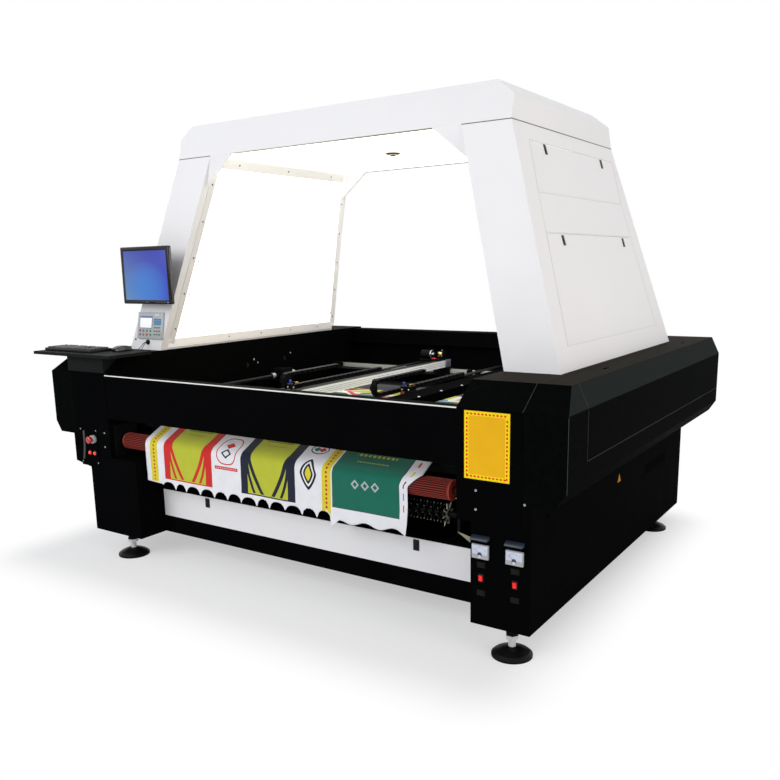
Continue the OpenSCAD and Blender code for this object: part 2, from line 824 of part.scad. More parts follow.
chain_1_dx = -165;
chain_2_dx = -200;
module gantry_1_fittings() color("#2b2d30") place()
    gantry_fittings(gantry_1_x, beam_1_w, chain_1_dx);
module gantry_2_fittings() color("#2b2d30") place()
    gantry_fittings(gantry_2_x, beam_2_w, chain_2_dx);

module gantry_head(x, w, y) translate([x - w / 2, y, beam_z]) {
    slot_z = 12;
    block_x = head_rail[0] + 20;
    difference() {
        block([-block_x, -45, 2], [-fit_gap, 45, 38]);
        block([-head_rail[0] - fit_gap, -46, slot_z - fit_gap],
              [1, 46, slot_z + head_rail[1] + fit_gap]);
    }
    translate([-block_x - 60, -28, -12]) cube([60, 56, 72]);
    translate([-block_x - 30, 0, 0]) {
        translate([0, 0, -50]) cylinder(r = 16, h = 38);
        translate([0, 0, -70]) cylinder(r = 20, h = 20);
        translate([0, 0, -108]) cylinder(r1 = 4, r2 = 14, h = 38);
        translate([0, 0, 60]) cylinder(r = 9, h = 10);
        bar_y(14, -40, -28);
    }
}

head_2_y = head_y + 200;
module gantry_1_head() color("#b58a3c") place() gantry_head(gantry_1_x, beam_1_w, head_y);
module gantry_2_head() color("#b58a3c") place() gantry_head(gantry_2_x, beam_2_w, head_2_y);

// Towers: hollow leaning boxes with door openings in their outer walls

function lean(low, top, z) = low + (top - low) * (z - deck_z) / tower_h;

module tower_solid(t) intersection() {
    reach = t > 0 ? 5 : 0;
    z0 = deck_z - reach;
    z1 = tower_z + reach;
    along_y([[lean(tower_in_low, tower_in_top, z0) + t, z0],
             [lean(tower_out_low, tower_out_top, z0) - t, z0],
             [lean(tower_out_low, tower_out_top, z1) - t, z1],
             [lean(tower_in_low, tower_in_top, z1) + t, z1]],
            tower_front_low - 50, tower_rear_low + 50);
    along_x([[lean(tower_front_low, tower_front_top, z0) + t, z0],
             [lean(tower_rear_low, tower_rear_top, z0) - t, z0],
             [lean(tower_rear_low, tower_rear_top, z1) - t, z1],
             [lean(tower_front_low, tower_front_top, z1) + t, z1]],
            tower_in_top - 50, tower_out_low + 50);
}

// The outline of a four-sided panel in Y and Z: front low, rear low, rear high, front high
function panel_outline(ys, zs, t, low_gap) = [
    [ys[0] + t, zs[0] + low_gap], [ys[1] - t, zs[0] + low_gap],
    [ys[2] - t, zs[1] - t], [ys[3] + t, zs[1] - t]
];

// The part of the leaning outer wall that a door takes up
module outer_wall(ys, zs, t, low_gap) intersection() {
    low_x = lean(tower_out_low, tower_out_top, zs[0]);
    high_x = lean(tower_out_low, tower_out_top, zs[1]);
    reach = 20;
    along_x(panel_outline(ys, zs, t, low_gap), tower_in_top, tower_out_low + reach);
    along_y([[low_x - reach, zs[0]], [low_x + reach, zs[0]],
             [high_x + reach, zs[1]], [high_x - reach, zs[1]]],
            tower_front_low, tower_rear_low);
}

module tower() difference() {
    tower_solid(0);
    tower_solid(sheet);
    outer_wall(upper_door_y, upper_door_z, 0, 0);
    outer_wall(lower_door_y, lower_door_z, 0, 0);
}

module left_tower() color("#ece9e4") place() side_of(-1) tower();
module right_tower() color("#ece9e4") place() side_of(1) tower();

module latch_at(p, grow)
    translate([lean(tower_out_low, tower_out_top, p[1]), p[0], p[1]]) rotate([0, -wall_tilt, 0])
        translate([-sheet - grow, -latch_size[0] / 2, -latch_size[1] / 2])
            cube([sheet + 1 + 2 * grow, latch_size[0], latch_size[1]]);

module tower_door(side, ys, zs, latches) {
    color("#ece9e4") place() side_of(side) difference() {
        intersection() {
            tower_solid(0);
            outer_wall(ys, zs, seam, hinge_gap);
        }
        tower_solid(sheet);
        for (p = latches) latch_at(p, 3);
    }
    color("#15161a") place() side_of(side) for (p = latches) latch_at(p, 0);
}

module left_upper_door() tower_door(-1, upper_door_y, upper_door_z, upper_latches);
module left_lower_door() tower_door(-1, lower_door_y, lower_door_z, lower_latches);
module right_upper_door() tower_door(1, upper_door_y, upper_door_z, upper_latches);
module right_lower_door() tower_door(1, lower_door_y, lower_door_z, lower_latches);

// Cap: a chamfered hood on both towers, with gusset plates in the corners below it
cap_front_lean = 35;
cap_rear_lean = 81;

module cap_solid(t) intersection() {
    low = tower_z - (t > 0 ? 1 : 0);
    high = tower_z + cap_h - t;
    along_y([[-tower_out_top + t, low], [tower_out_top - t, low],
             [tower_out_top - t, tower_z + cap_side_h - t * 0.5],
             [tower_out_top - cap_chamfer - t * 0.5, high],
             [-tower_out_top + cap_chamfer + t * 0.5, high],
             [-tower_out_top + t, tower_z + cap_side_h - t * 0.5]],
            tower_front_top - 10, tower_rear_top + 10);
    along_x([[tower_front_top + t, low], [tower_rear_top - t, low],
             [tower_rear_top - cap_rear_lean - t, tower_z + cap_h],
             [tower_front_top + cap_front_lean + t, tower_z + cap_h]],
            -tower_out_top - 10, tower_out_top + 10);
}

module cap() color("#efedf0") place() {
    difference() {
        cap_solid(0);
        cap_solid(sheet);
    }
    corner_low = lean(tower_in_low, tower_in_top, tower_z - gusset_h);
    for (side = [-1, 1], y = [tower_front_top + 1, tower_rear_top - 6]) side_of(side)
        along_y([[tower_in_top - gusset_w, tower_z], [tower_in_top, tower_z],
                 [corner_low, tower_z - gusset_h]], y, y + 5);
}

// Light panels on the inner walls and the ceiling

module light_wall() difference() {
    intersection() {
        translate([-light_t, 0, 0]) tower_solid(0);
        along_x(panel_outline(light_y, light_z, 0, 0), tower_in_top - 60,
                (tower_in_low + tower_out_low) / 2);
    }
    tower_solid(0);
}

module light_panels() color("#fff6e2") place() {
    for (side = [-1, 1]) side_of(side) light_wall();
    intersection() {
        cap_solid(sheet);
        block([-tower_out_top, 0, tower_z + ceiling_rise],
              [tower_out_top, body_d, tower_z + ceiling_rise + light_t]);
    }
}

module camera() color("#d9dadd") place() translate([camera_x, camera_y, tower_z]) {
    translate([0, 0, 5]) cylinder(r = camera_d / 2, h = ceiling_rise - 5);
    translate([0, 0, -5]) cylinder(r = 22, h = 10);
}

// Operator place: monitor, keypad, tray, keyboard and mouse

module monitor_arm() color("#1d1e21") place() {
    z0 = monitor_z - 55;
    z1 = monitor_z + 55;
    front = monitor_back_y + 34;
    along_x([[front, z0], [lean(tower_front_low, tower_front_top, z0), z0],
             [lean(tower_front_low, tower_front_top, z1), z1], [front, z1]],
            monitor_x - 40, monitor_x + 40);
    difference() {
        union() {
            block([monitor_x - 14, monitor_back_y + 20, monitor_z - 12],
                  [monitor_x + 14, front, monitor_z + 12]);
            translate([0, monitor_back_y + 20, monitor_z]) bar_x(12, monitor_x - 14, monitor_x + 14);
        }
        translate([0, monitor_back_y + 20, monitor_z])
            bar_x(5 + stem_gap, monitor_x - 15, monitor_x + 15);
    }
}

shroud_half = 130;
shroud_rise = 50;
shroud_drop = 60;
shroud_d = 22;
bezel = 22;
module monitor() {
    low = monitor_z - monitor_h / 2;
    front = monitor_back_y - shroud_d - monitor_d;
    color("#0e0f11") place() {
        difference() {
            block([monitor_x - monitor_w / 2, front, low],
                  [monitor_x + monitor_w / 2, front + monitor_d, low + monitor_h]);
            block([monitor_x - monitor_w / 2 + bezel, front - 1, low + bezel + 6],
                  [monitor_x + monitor_w / 2 - bezel, front + 3, low + monitor_h - bezel]);
        }
        block([monitor_x - shroud_half, front + monitor_d, low + shroud_rise],
              [monitor_x + shroud_half, monitor_back_y, low + monitor_h - shroud_drop]);
        for (x = [monitor_x - 24, monitor_x + 14.5])
            block([x, monitor_back_y, monitor_z - 9], [x + 9.5, monitor_back_y + 27, monitor_z + 9]);
        translate([0, monitor_back_y + 20, monitor_z]) bar_x(5, monitor_x - 20, monitor_x + 20);
    }
    color("#2a6fc9") place()
        block([monitor_x - monitor_w / 2 + bezel, front + 1, low + bezel + 6],
              [monitor_x + monitor_w / 2 - bezel, front + 3, low + monitor_h - bezel]);
}

keypad_edge = 16;
key_rise = 2;
key_pitch = [20, 24];
key_face = [15, 16];

// A block of keys on the keypad's face, its lower left corner at x and z
module key_grid(x, z, columns, rows) for (i = [0:columns - 1], j = [0:rows - 1])
    translate([x + i * key_pitch.x, -keypad_t - key_rise, z + j * key_pitch.y])
        cube([key_face.x, key_rise, key_face.y]);

module keypad() color("#8f949b") place() {
    translate([keypad_x, lean(tower_front_low, tower_front_top, keypad_z) - fit_gap, keypad_z])
        rotate([-face_tilt, 0, 0]) {
            block([0, -keypad_t, 0], [keypad_w, 0, keypad_h]);
            block([keypad_edge, -keypad_t - key_rise, keypad_h - 66],
                  [keypad_w / 2, -keypad_t, keypad_h - keypad_edge]);
            key_grid(keypad_w / 2 + 14, 18, 4, 5);
            key_grid(keypad_edge + 2, 24, 4, 2);
        }
    translate([port_x, 0, port_z])
        bar_y(14, 394, lean(tower_front_low, tower_front_top, port_z) - 2.5);
}

module tray() color("#0d0e10") place() {
    block([-tray_left, -tray_front, deck_z], [-tray_left + tray_w, tray_d - tray_front, tray_top]);
    rise = slope_h / front_slope;
    inset = 10;
    along_x([[inset, slope_z + inset * rise], [front_slope, deck_z], [inset, deck_z]],
            -left_outer - 140, -tub_x - 18);
}

keyboard_size = [400, 145, 16];
cap_size = [18, 20, 6];
cap_pitch = [21, 24];

module keyboard() color("#17181b") place() translate([-tray_left + 20, 20, tray_top]) {
    cube(keyboard_size);
    for (i = [0:17], j = [0:4])
        translate([11 + i * cap_pitch.x, 14 + j * cap_pitch.y, keyboard_size.z]) cube(cap_size);
}

mouse_r = 26;
module mouse() color("#101113") place() translate([-1124, 185, tray_top]) intersection() {
    hull() for (y = [-32, 28]) translate([0, y, 4]) sphere(r = mouse_r, $fn = 32);
    translate([-mouse_r, -60, 0]) cube([2 * mouse_r, 120, mouse_r + 10]);
}

// Cords: a tube swept along a list of points
sides = 8;
function unit(v) = v / norm(v);
function heading(path, i) =
    unit(path[min(i + 1, len(path) - 1)] - path[max(i - 1, 0)]);
function ring_at(path, i, r) = let (
    d = heading(path, i), side = unit(cross(d, [0, 0, 1])), up = cross(side, d)
) [for (k = [0:sides - 1]) let (a = (k + 0.5) * 360 / sides)
    path[i] + r * (side * cos(a) + up * sin(a))];

module cord(path, r) {
    n = len(path);
    points = [for (i = [0:n - 1]) each ring_at(path, i, r)];
    start = [[for (k = [0:sides - 1]) k]];
    end = [[for (k = [sides - 1:-1:0]) (n - 1) * sides + k]];
    walls = [for (i = [0:n - 2], k = [0:sides - 1]) let (
        a = i * sides + k, b = i * sides + (k + 1) % sides
    ) each [[a, a + sides, b], [b, a + sides, b + sides]]];
    polyhedron(points, concat(start, walls, end));
}

module mouse_cable() color("#0b0b0c") place() cord(mouse_cable_path, cable_r);
module keyboard_cable() color("#0b0b0c") place() cord(keyboard_cable_path, cable_r);

// Control box at the left front, with its switch plate
plate_side = [-1300, -1150];
plate_low = 485;
box_d = 300;
box_w = 125;
box_out = left_outer + box_w;
box_drop = 24;

module control_box() color("#1b1d20") place() {
    low = plate_low - 7;
    difference() {
        along_y([[-box_out, low + box_drop], [-left_outer, low],
                 [-left_outer, underside_z], [-box_out, underside_z]], 0, box_d);
        along_y([[-box_out + sheet, low + box_drop + sheet], [-left_outer - sheet, low + sheet],
                 [-left_outer - sheet, underside_z - sheet],
                 [-box_out + sheet, underside_z - sheet]], sheet, box_d + 1);
    }
    difference() {
        union() {
            block([plate_side[0], -sheet, plate_low], [plate_side[1], 0, estop_plate_top]);
            switch_ring(estop[0], estop[1], 21, 15);
            for (x = button_xs) switch_ring(x, button_z, 15, 8);
        }
        switch_bore(estop[0], estop[1]);
        for (x = button_xs) switch_bore(x, button_z);
    }
}

module switch_ring(x, z, r, h) translate([x, 0, z]) bar_y(r, -sheet - h, -sheet);
module switch_bore(x, z) translate([x, 0, z]) bar_y(stem_r + stem_gap, -40, 1);

module emergency_stop() color("#d11a1f") place() translate([estop[0], 0, estop[1]]) {
    bar_y(stem_r, -26, -7);
    bar_y(20, -estop_reach, -26);
}

module push_button(x) translate([x, 0, button_z]) bar_y(stem_r, -17, -4);
module start_button() color("#ff2a1e") place() push_button(button_xs[0]);
module pause_button() color("#ff2a1e") place() push_button(button_xs[1]);

// Meters, hoods, sockets and rocker switches at the right front

module meters() color("#c9cdd2") place() for (x = meter_xs) {
    block([x - meter_size.x / 2, -meter_size.y, meter_z - meter_size.z / 2],
          [x + meter_size.x / 2, 0, meter_z + meter_size.z / 2]);
    along_x([[-24, hood_z], [-22, hood_z], [0, hood_z + 12], [0, hood_z + 15], [-24, hood_z + 3]],
            x - 38, x + 38);
    for (z = socket_zs) block([x - 12, -4, z - 9], [x + 12, 0, z + 9]);
    difference() {
        block([x - 12, -4, rocker_z - 17], [x + 12, 0, rocker_z + 17]);
        block([x - 8, -5, rocker_z - 13], [x + 8, -1, rocker_z + 13]);
    }
}

module rocker(x) translate([x, -4, rocker_z]) rotate([6, 0, 0])
    along_x([[1.4, -11], [1.4, 11], [-4.5, 11], [-2.5, 0], [-4.5, -11]], -7.5, 7.5);
module left_rocker() color("#c4161c") place() rocker(meter_xs[0]);
module right_rocker() color("#c4161c") place() rocker(meter_xs[1]);

plate_x = [tub_x + 36, tub_x + 228];
plate_z = [719, 985];
module warning_plate() color("#f2d51c") place()
    block([plate_x[0], -cover_t - 1, plate_z[0]], [plate_x[1], -cover_t, plate_z[1]]);

// Feet

foot_spots = [
    [right_outer - 100, foot_inset], [-left_outer + 226, foot_inset],
    [right_outer - 100, pedestal_d - 100 - foot_inset],
    [-left_outer + 226, pedestal_d - 100 - foot_inset]
];

module foot_pads() color("#121314") place() for (p = foot_spots) translate([p.x, p.y, 0])
    rotate_extrude() polygon([[0, 0], [pad_d / 2, 0], [pad_d / 2, 10], [pad_d / 2 - 12, 20],
                              [pad_d / 4, 34], [stud_d / 2 + 6, pad_h], [0, pad_h]]);

module foot_studs() color("#aab0b5") place() for (p = foot_spots) translate([p.x, p.y, 0]) {
    translate([0, 0, pad_h]) cylinder(r = stud_d / 2, h = foot_h - pad_h);
    translate([0, 0, foot_h - 52]) cylinder(r = 27, h = 24, $fn = 6);
    translate([0, 0, foot_h - 26]) cylinder(r = 24, h = 26);
}

// Screws: pan heads on the front covers, and round the edges of both light panels

screw_r = 5;
screw_t = 2.5;

module cover_screws() color("#d5d8db") place() {
    for (z = [675, 599])
        translate([tub_x + 87, 0, z]) bar_y(screw_r, -cover_t - screw_t, -cover_t);
    for (p = [[right_outer - 28, underside_z - 9], [-tub_x - 38, underside_z + 25],
              [-tub_x - 42, underside_z - 52]])
        translate([p[0], 0, p[1]]) bar_y(screw_r, -screw_t, 0);
    for (x = [plate_side[0] + 10, plate_side[1] - 10], z = [plate_low + 22, estop_plate_top - 10])
        translate([x, 0, z]) bar_y(4, -sheet - 2, -sheet);
    for (p = [[1076, 929], [1430, 936]]) translate([0, p[0], p[1]]) bar_x(13, -tub_x, -tub_x + 6);
    for (side = [-1, 1]) side_of(side) {
        for (i = [0:light_screw_rows - 1]) {
            part = (i + 0.25) / light_screw_rows;
            z = light_z[0] + 20 + part * (light_z[1] - light_z[0] - 20);
            share = (z - light_z[0]) / (light_z[1] - light_z[0]);
            light_screw(light_y[0] + (light_y[3] - light_y[0]) * share + 18, z);
            light_screw(light_y[1] + (light_y[2] - light_y[1]) * share - 18, z);
        }
        for (i = [0:3]) light_screw(700 + i * 300, light_z[0] + 16);
        for (i = [0:2]) light_screw(760 + i * 420, light_z[1] - 16);
    }
}

module light_screw(y, z)
    translate([lean(tower_in_low, tower_in_top, z) - light_t, y, z])
        rotate([0, -inner_tilt - 90, 0]) cylinder(r = 7, h = 3);

left_pedestal();
right_pedestal();
left_upper_body();
right_upper_body();
left_side_cover();
right_side_cover();
column_covers();
front_beam();
front_lip();
rear_beam();
lower_beams();
front_panel();
bearing_blocks();
feed_roller();
spiked_shaft();
front_drum();
rear_drum();
mesh_belt();
bed_frame();
printed_fabric();
x_rails();
left_drive_shaft();
right_drive_shaft();
drive_units();
gantry_1_beam();
gantry_1_fittings();
gantry_1_head();
gantry_2_beam();
gantry_2_fittings();
gantry_2_head();
laser_tubes();
left_tower();
right_tower();
cap();
light_panels();
camera();
left_upper_door();
left_lower_door();
right_upper_door();
right_lower_door();
monitor_arm();
monitor();
keypad();
tray();
keyboard();
mouse();
mouse_cable();
keyboard_cable();
control_box();
emergency_stop();
start_button();
pause_button();
meters();
left_rocker();
right_rocker();
warning_plate();
foot_pads();
foot_studs();
pedestal_door();
cover_screws();
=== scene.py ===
import math
from collections import namedtuple

import bpy
from mathutils import Matrix, Vector


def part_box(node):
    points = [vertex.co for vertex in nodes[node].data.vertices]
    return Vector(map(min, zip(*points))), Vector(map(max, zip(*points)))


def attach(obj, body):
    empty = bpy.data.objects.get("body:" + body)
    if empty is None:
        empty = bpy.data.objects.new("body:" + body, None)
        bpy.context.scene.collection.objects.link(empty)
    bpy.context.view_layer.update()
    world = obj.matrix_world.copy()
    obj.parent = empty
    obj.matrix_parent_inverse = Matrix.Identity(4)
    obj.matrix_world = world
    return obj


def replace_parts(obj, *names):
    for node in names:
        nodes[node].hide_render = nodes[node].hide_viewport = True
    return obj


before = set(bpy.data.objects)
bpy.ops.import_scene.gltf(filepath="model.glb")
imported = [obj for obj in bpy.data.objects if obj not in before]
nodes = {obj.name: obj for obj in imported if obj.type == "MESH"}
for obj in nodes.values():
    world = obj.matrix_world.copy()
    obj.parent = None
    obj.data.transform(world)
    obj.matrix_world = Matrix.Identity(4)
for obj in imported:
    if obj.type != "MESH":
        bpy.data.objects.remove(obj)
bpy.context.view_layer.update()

# Camera: it stands off the right front corner, above the height of the tub's edge, and looks
# a little down. Places are in millimetres from the middle of the front beam's outer face at
# floor level: X to the right, Y to the back, Z up.
front_low, front_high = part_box("front_beam")
middle_x, front_y = (front_low.x + front_high.x) / 2, front_low.y


def at(x, y, z):
    return Vector((middle_x + x / 1000, front_y + y / 1000, z / 1000))


view = bpy.data.cameras.new("corner_view")
view.sensor_width, view.lens = 36, 37.783
view.shift_x, view.shift_y = 0.00686, 0.05572
view.clip_end = 100
camera = bpy.data.objects.new("corner_view", view)
bpy.context.collection.objects.link(camera)
heading, dip, roll = math.radians(34.174), math.radians(11.568), math.radians(-1.095)
aim = (
    Matrix.Rotation(heading, 3, "Z")
    @ Matrix.Rotation(math.pi / 2 - dip, 3, "X")
    @ Matrix.Rotation(roll, 3, "Z")
)
camera.matrix_world = Matrix.Translation(at(2559, -2711, 1527)) @ aim.to_4x4()
bpy.context.scene.camera = camera

# Studio: a white floor that runs out to a white background, a broad soft lamp over the front
# left, a weaker one at the right, one overhead, and an even pale sky.


def feed(shader, feeds):
    """Puts plain values, or the output sockets of other nodes, into a shader node's inputs."""
    for key, value in feeds.items():
        if isinstance(value, bpy.types.NodeSocket):
            shader.id_data.links.new(value, shader.inputs[key])
        else:
            shader.inputs[key].default_value = value


def make(tree, kind, feeds=None, take=0, **settings):
    """Adds a shader node with its settings and feeds, and gives the output that is taken."""
    made = tree.nodes.new("ShaderNode" + kind)
    for setting, value in settings.items():
        setattr(made, setting, value)
    feed(made, feeds or {})
    return made.outputs[take] if made.outputs else None


def emptied(owner):
    """The node tree of a world or a material, with nothing left in it."""
    owner.use_nodes = True
    owner.node_tree.nodes.clear()
    return owner.node_tree


scene = bpy.context.scene
scene.view_settings.view_transform = "Standard"
scene.world = bpy.data.worlds.new("studio_sky")
tree = emptied(scene.world)
ray = make(tree, "LightPath").node.outputs
seen = make(tree, "Math", {0: ray["Is Camera Ray"], 1: ray["Is Glossy Ray"]}, operation="MAXIMUM")
seen = make(tree, "Math", {0: seen, 1: ray["Is Transmission Ray"]}, operation="MAXIMUM")
lit = make(tree, "Background", {"Color": (0.93, 0.95, 1, 1), "Strength": 0.5})
white = make(tree, "Background", {"Color": (1, 1, 1, 1), "Strength": 1.0})
make(tree, "OutputWorld", {0: make(tree, "MixShader", {0: seen, 1: lit, 2: white})})


def soft_lamp(name, place, towards, size, watts, colour):
    lamp = bpy.data.lights.new(name, "AREA")
    lamp.shape, lamp.size, lamp.energy, lamp.color = "DISK", size, watts, colour
    holder = bpy.data.objects.new(name, lamp)
    bpy.context.collection.objects.link(holder)
    holder.location = place
    holder.rotation_euler = (towards - place).to_track_quat("-Z", "Y").to_euler()


soft_lamp("key_lamp", at(-1800, -4600, 3600), at(0, 900, 900), 4.0, 168, (0.97, 0.98, 1))
soft_lamp("side_lamp", at(6800, -600, 1500), at(1300, 1100, 1500), 3.4, 150, (1, 0.935, 0.85))
soft_lamp("top_lamp", at(900, 2700, 5200), at(0, 1150, 0), 4.0, 25, (1, 1, 1))

# The floor is white by itself away from the machine, and fades to a lit, shadowed one under it.
bpy.ops.mesh.primitive_grid_add(x_subdivisions=8, y_subdivisions=8, size=60)
floor = bpy.context.object
floor.name = "studio_floor"
floor_paint = bpy.data.materials.new("studio_white")
tree = emptied(floor_paint)
off = make(tree, "TexCoord", take="Object")
half_machine = (1.305, 1.12, 0)
for kind, value in (("SUBTRACT", at(-95, 950, 0)), ("ABSOLUTE", (0, 0, 0)), ("SUBTRACT", half_machine),
                    ("MAXIMUM", (0, 0, 0))):
    off = make(tree, "VectorMath", {0: off, 1: value}, operation=kind)
far = make(tree, "VectorMath", {0: off}, take="Value", operation="LENGTH")
fade = make(tree, "MapRange",
            {"Value": far, "From Min": 0.02, "From Max": 0.4, "To Min": 0.47, "To Max": 1.0},
            interpolation_type="SMOOTHSTEP")
share = make(tree, "Math", {0: make(tree, "LightPath", take="Is Camera Ray"), 1: fade}, operation="MULTIPLY")
matt = make(tree, "BsdfDiffuse", {"Color": (0.9, 0.9, 0.9, 1)})
bright = make(tree, "Emission", {"Strength": 1.0})
make(tree, "OutputMaterial", {0: make(tree, "MixShader", {0: share, 1: matt, 2: bright})})
floor.data.materials.append(floor_paint)

# Black body: pedestals, beams, column covers and the control box are folded steel sheet with a
# satin black powder coat.


def mixed(share, first, second):
    """A colour that runs from the first to the second by a share. Each is a colour or a socket."""
    first, second = [(*c, 1) if isinstance(c, (tuple, list)) else c for c in (first, second)]
    return make(share.id_data, "Mix", {"Factor": share, "A": first, "B": second}, take="Result",
                data_type="RGBA")


def noise(tree, place, scale, detail):
    return make(tree, "TexNoise", {"Vector": place, "Scale": scale, "Detail": detail}, take="Fac")


def set_skin(made, **feeds):
    """Feeds a material's own surface shader. A name's low lines stand for spaces."""
    feed(made.node_tree.nodes["Principled BSDF"], {key.replace("_", " "): feeds[key] for key in feeds})


def finish_of(name, colour, rough, metal=0.0, shade=0.12, patch=6.0, smudge=0.08, grain=0.15,
              grain_size=900.0, depth=0.0006, stretch=(1, 1, 1), specular=0.5, coat=0.0):
    """A painted, moulded or metal finish: mottled colour, uneven gloss and a fine grain."""
    made = bpy.data.materials.new(name)
    made.use_nodes = True
    tree = made.node_tree
    place = make(tree, "Mapping", {"Vector": make(tree, "TexCoord", take="Object"), "Scale": stretch})
    tint = mixed(noise(tree, place, patch, 6), [c * (1 - shade) for c in colour],
                 [min(1, c * (1 + shade)) for c in colour])
    gloss = make(tree, "MapRange", {"Value": noise(tree, place, patch * 3.1, 4),
                                    "To Min": max(0.03, rough - smudge), "To Max": min(1, rough + smudge)})
    bump = make(tree, "Bump", {"Height": noise(tree, place, grain_size, 3), "Strength": grain,
                               "Distance": depth})
    set_skin(made, Metallic=metal, Specular_IOR_Level=specular, Coat_Weight=coat, Base_Color=tint,
             Roughness=gloss, Normal=bump)
    return made


def paint(finish, *names):
    """Gives CAD pieces one finish, in every material slot that they have."""
    for name in names:
        slots = nodes[name].data.materials
        if len(slots) == 0:
            slots.append(finish)
        for i in range(len(slots)):
            slots[i] = finish


satin_black = finish_of("satin_black_coat", (0.0022, 0.0023, 0.0026), 0.5, shade=0.25, patch=3,
                        grain=0.22, grain_size=700, specular=0.001)
paint(satin_black, "left_pedestal", "right_pedestal", "column_covers", "front_beam", "rear_beam",
      "lower_beams", "control_box", "pedestal_door")

# Tray and white sheet: the operator's tray is steel sheet with a textured dark coat. The front
# panel, towers, tower doors and cap are steel sheet with a satin white one.
tray_coat = finish_of("textured_tray_coat", (0.008, 0.0095, 0.009), 0.6, shade=0.2, patch=8, grain=0.5,
                      grain_size=420, specular=0.05)
paint(tray_coat, "tray")
satin_white = finish_of("satin_white_coat", (0.83, 0.822, 0.828), 0.42, shade=0.03, patch=2,
                        grain=0.12, grain_size=700, smudge=0.06)
paint(satin_white, "left_tower", "right_tower", "cap", "left_upper_door", "left_lower_door",
      "right_upper_door", "right_lower_door", "front_panel")

# Light panels: milky plastic sheets, screwed to the towers' inner walls and under the cap, and lit
# evenly from behind.
glow = finish_of("lit_diffuser", (0.95, 0.93, 0.88), 0.6, shade=0.02, grain=0.05)
set_skin(glow, Emission_Color=(1.0, 0.97, 0.9, 1), Emission_Strength=1.5)
paint(glow, "light_panels")

# Iron, steel and plastic: blackened iron blocks and plates carry the moving parts, the front drum
# and the laser tubes' cans are ground steel, and the meters' backs are black moulded plastic.
dark_iron = finish_of("black_iron", (0.005, 0.0052, 0.0056), 0.45, specular=0.04, grain=0.3, grain_size=400)
paint(dark_iron, "bearing_blocks", "drive_units", "gantry_1_fittings", "gantry_2_fittings", "monitor_arm",
      "rear_drum")
ground_steel = finish_of("ground_steel", (0.55, 0.56, 0.57), 0.3, metal=1.0, patch=20, grain=0.1)
paint(ground_steel, "front_drum", "laser_tubes")
dark_plastic = finish_of("dark_plastic", (0.008, 0.008, 0.009), 0.4, specular=0.1)
paint(dark_plastic, "meters")

# Printed fabric: a knitted polyester web, printed with garment panels, that lies on the mesh
# belt, passes over the front drum and the ribbed roller and hangs down to a torn-out hem.
Corner = namedtuple("Corner", "x y z")


def corners(name):
    """A CAD piece's lowest and highest corners, in the script's own millimetres."""
    return [Corner((p.x - middle_x) * 1000, (p.y - front_y) * 1000, p.z * 1000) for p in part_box(name)]


def middle(name):
    return Corner(*((low + high) / 2 for low, high in zip(*corners(name))))


def round_over(axis, over, start, end, steps):
    """Places in Y and Z along an arc round an axis, from one angle to another."""
    angles = [start + (end - start) * i / steps for i in range(steps + 1)]
    return [(axis.y + over * math.cos(a), axis.z + over * math.sin(a)) for a in angles]


cloth_lift, web_end = 1.4, corners("printed_fabric")[1].y - 4
roller, drum = middle("feed_roller"), middle("front_drum")
roller_over = corners("feed_roller")[1].z - roller.z + cloth_lift
drum_over = corners("mesh_belt")[1].z - drum.z + cloth_lift
across, rise = drum.y - roller.y, drum.z - roller.z
leave = math.atan2(rise, across) + math.acos((drum_over - roller_over) / math.hypot(across, rise))
tangent_end = (drum.y + drum_over * math.cos(leave), drum.z + drum_over * math.sin(leave))
# Places along the web, from the roller's front round to the rear end of the bed
section = round_over(roller, roller_over, math.pi, leave, 14)
section += [tuple(p + (q - p) * i / 5 for p, q in zip(section[-1], tangent_end)) for i in range(1, 5)]
section += round_over(drum, drum_over, leave, math.pi / 2, 8)
section += [(drum.y + (web_end - drum.y) * i / 16, drum.z + drum_over) for i in range(1, 17)]

hem_line, hang_rows, hang = 416, 26, 215
first_bite, last_bite = -721, 388
reach = [roller.z - hem_line]
for before, after in zip(section, section[1:]):
    reach.append(reach[-1] + math.dist(before, after))
# Bites out of the hem: left end, right end, height and how ragged the top is
bites = [(first_bite, -622, 36, 0), (-616, -542, 34, 4), (-536, -442, 36, 0), (-435, -344, 36, 0),
         (-337, -255, 32, 5), (-248, -161, 38, 0), (-159, -64, 35, 0), (-57, 19, 36, 5),
         (25, 118, 40, 0), (120, 214, 36, 0), (220, 302, 34, 5), (308, last_bite, 40, 0)]


def hem_height(x):
    """Height of the torn edge at x: round bites between short tongues, then a slack wave."""
    for start, end, height, ragged in bites:
        if start <= x <= end:
            t = (x - start) / (end - start)
            bite = (1 - abs(2 * t - 1) ** 2.6) ** 0.6
            return hem_line + height * bite + ragged * abs(math.sin(t * 15)) * bite
    if x < first_bite:
        return hem_line + 20 + 8 * (first_bite - x) / 120
    if x > last_bite:
        t = (x - last_bite) / 400
        return 378 + 44 * min(1, t * 9) ** 0.7 + 9 * math.sin(t * 17) * min(1, t * 4) + 6 * t
    return hem_line


def soft_fold(x, drop):
    """How far the hanging cloth stands forward of the roller's tangent at x, drop below it."""
    share = drop / hang
    waves = 0.5 + 0.5 * math.sin(x / 61 + 0.9 * math.sin(x / 173)) * math.sin(x / 240 + 1)
    edge = max(0, (x - 735) / 57) ** 2 * 20 * share
    return share ** 1.3 * 7 * waves + 1.5 * math.sin(share * 9 + x / 90) ** 2 * share + edge


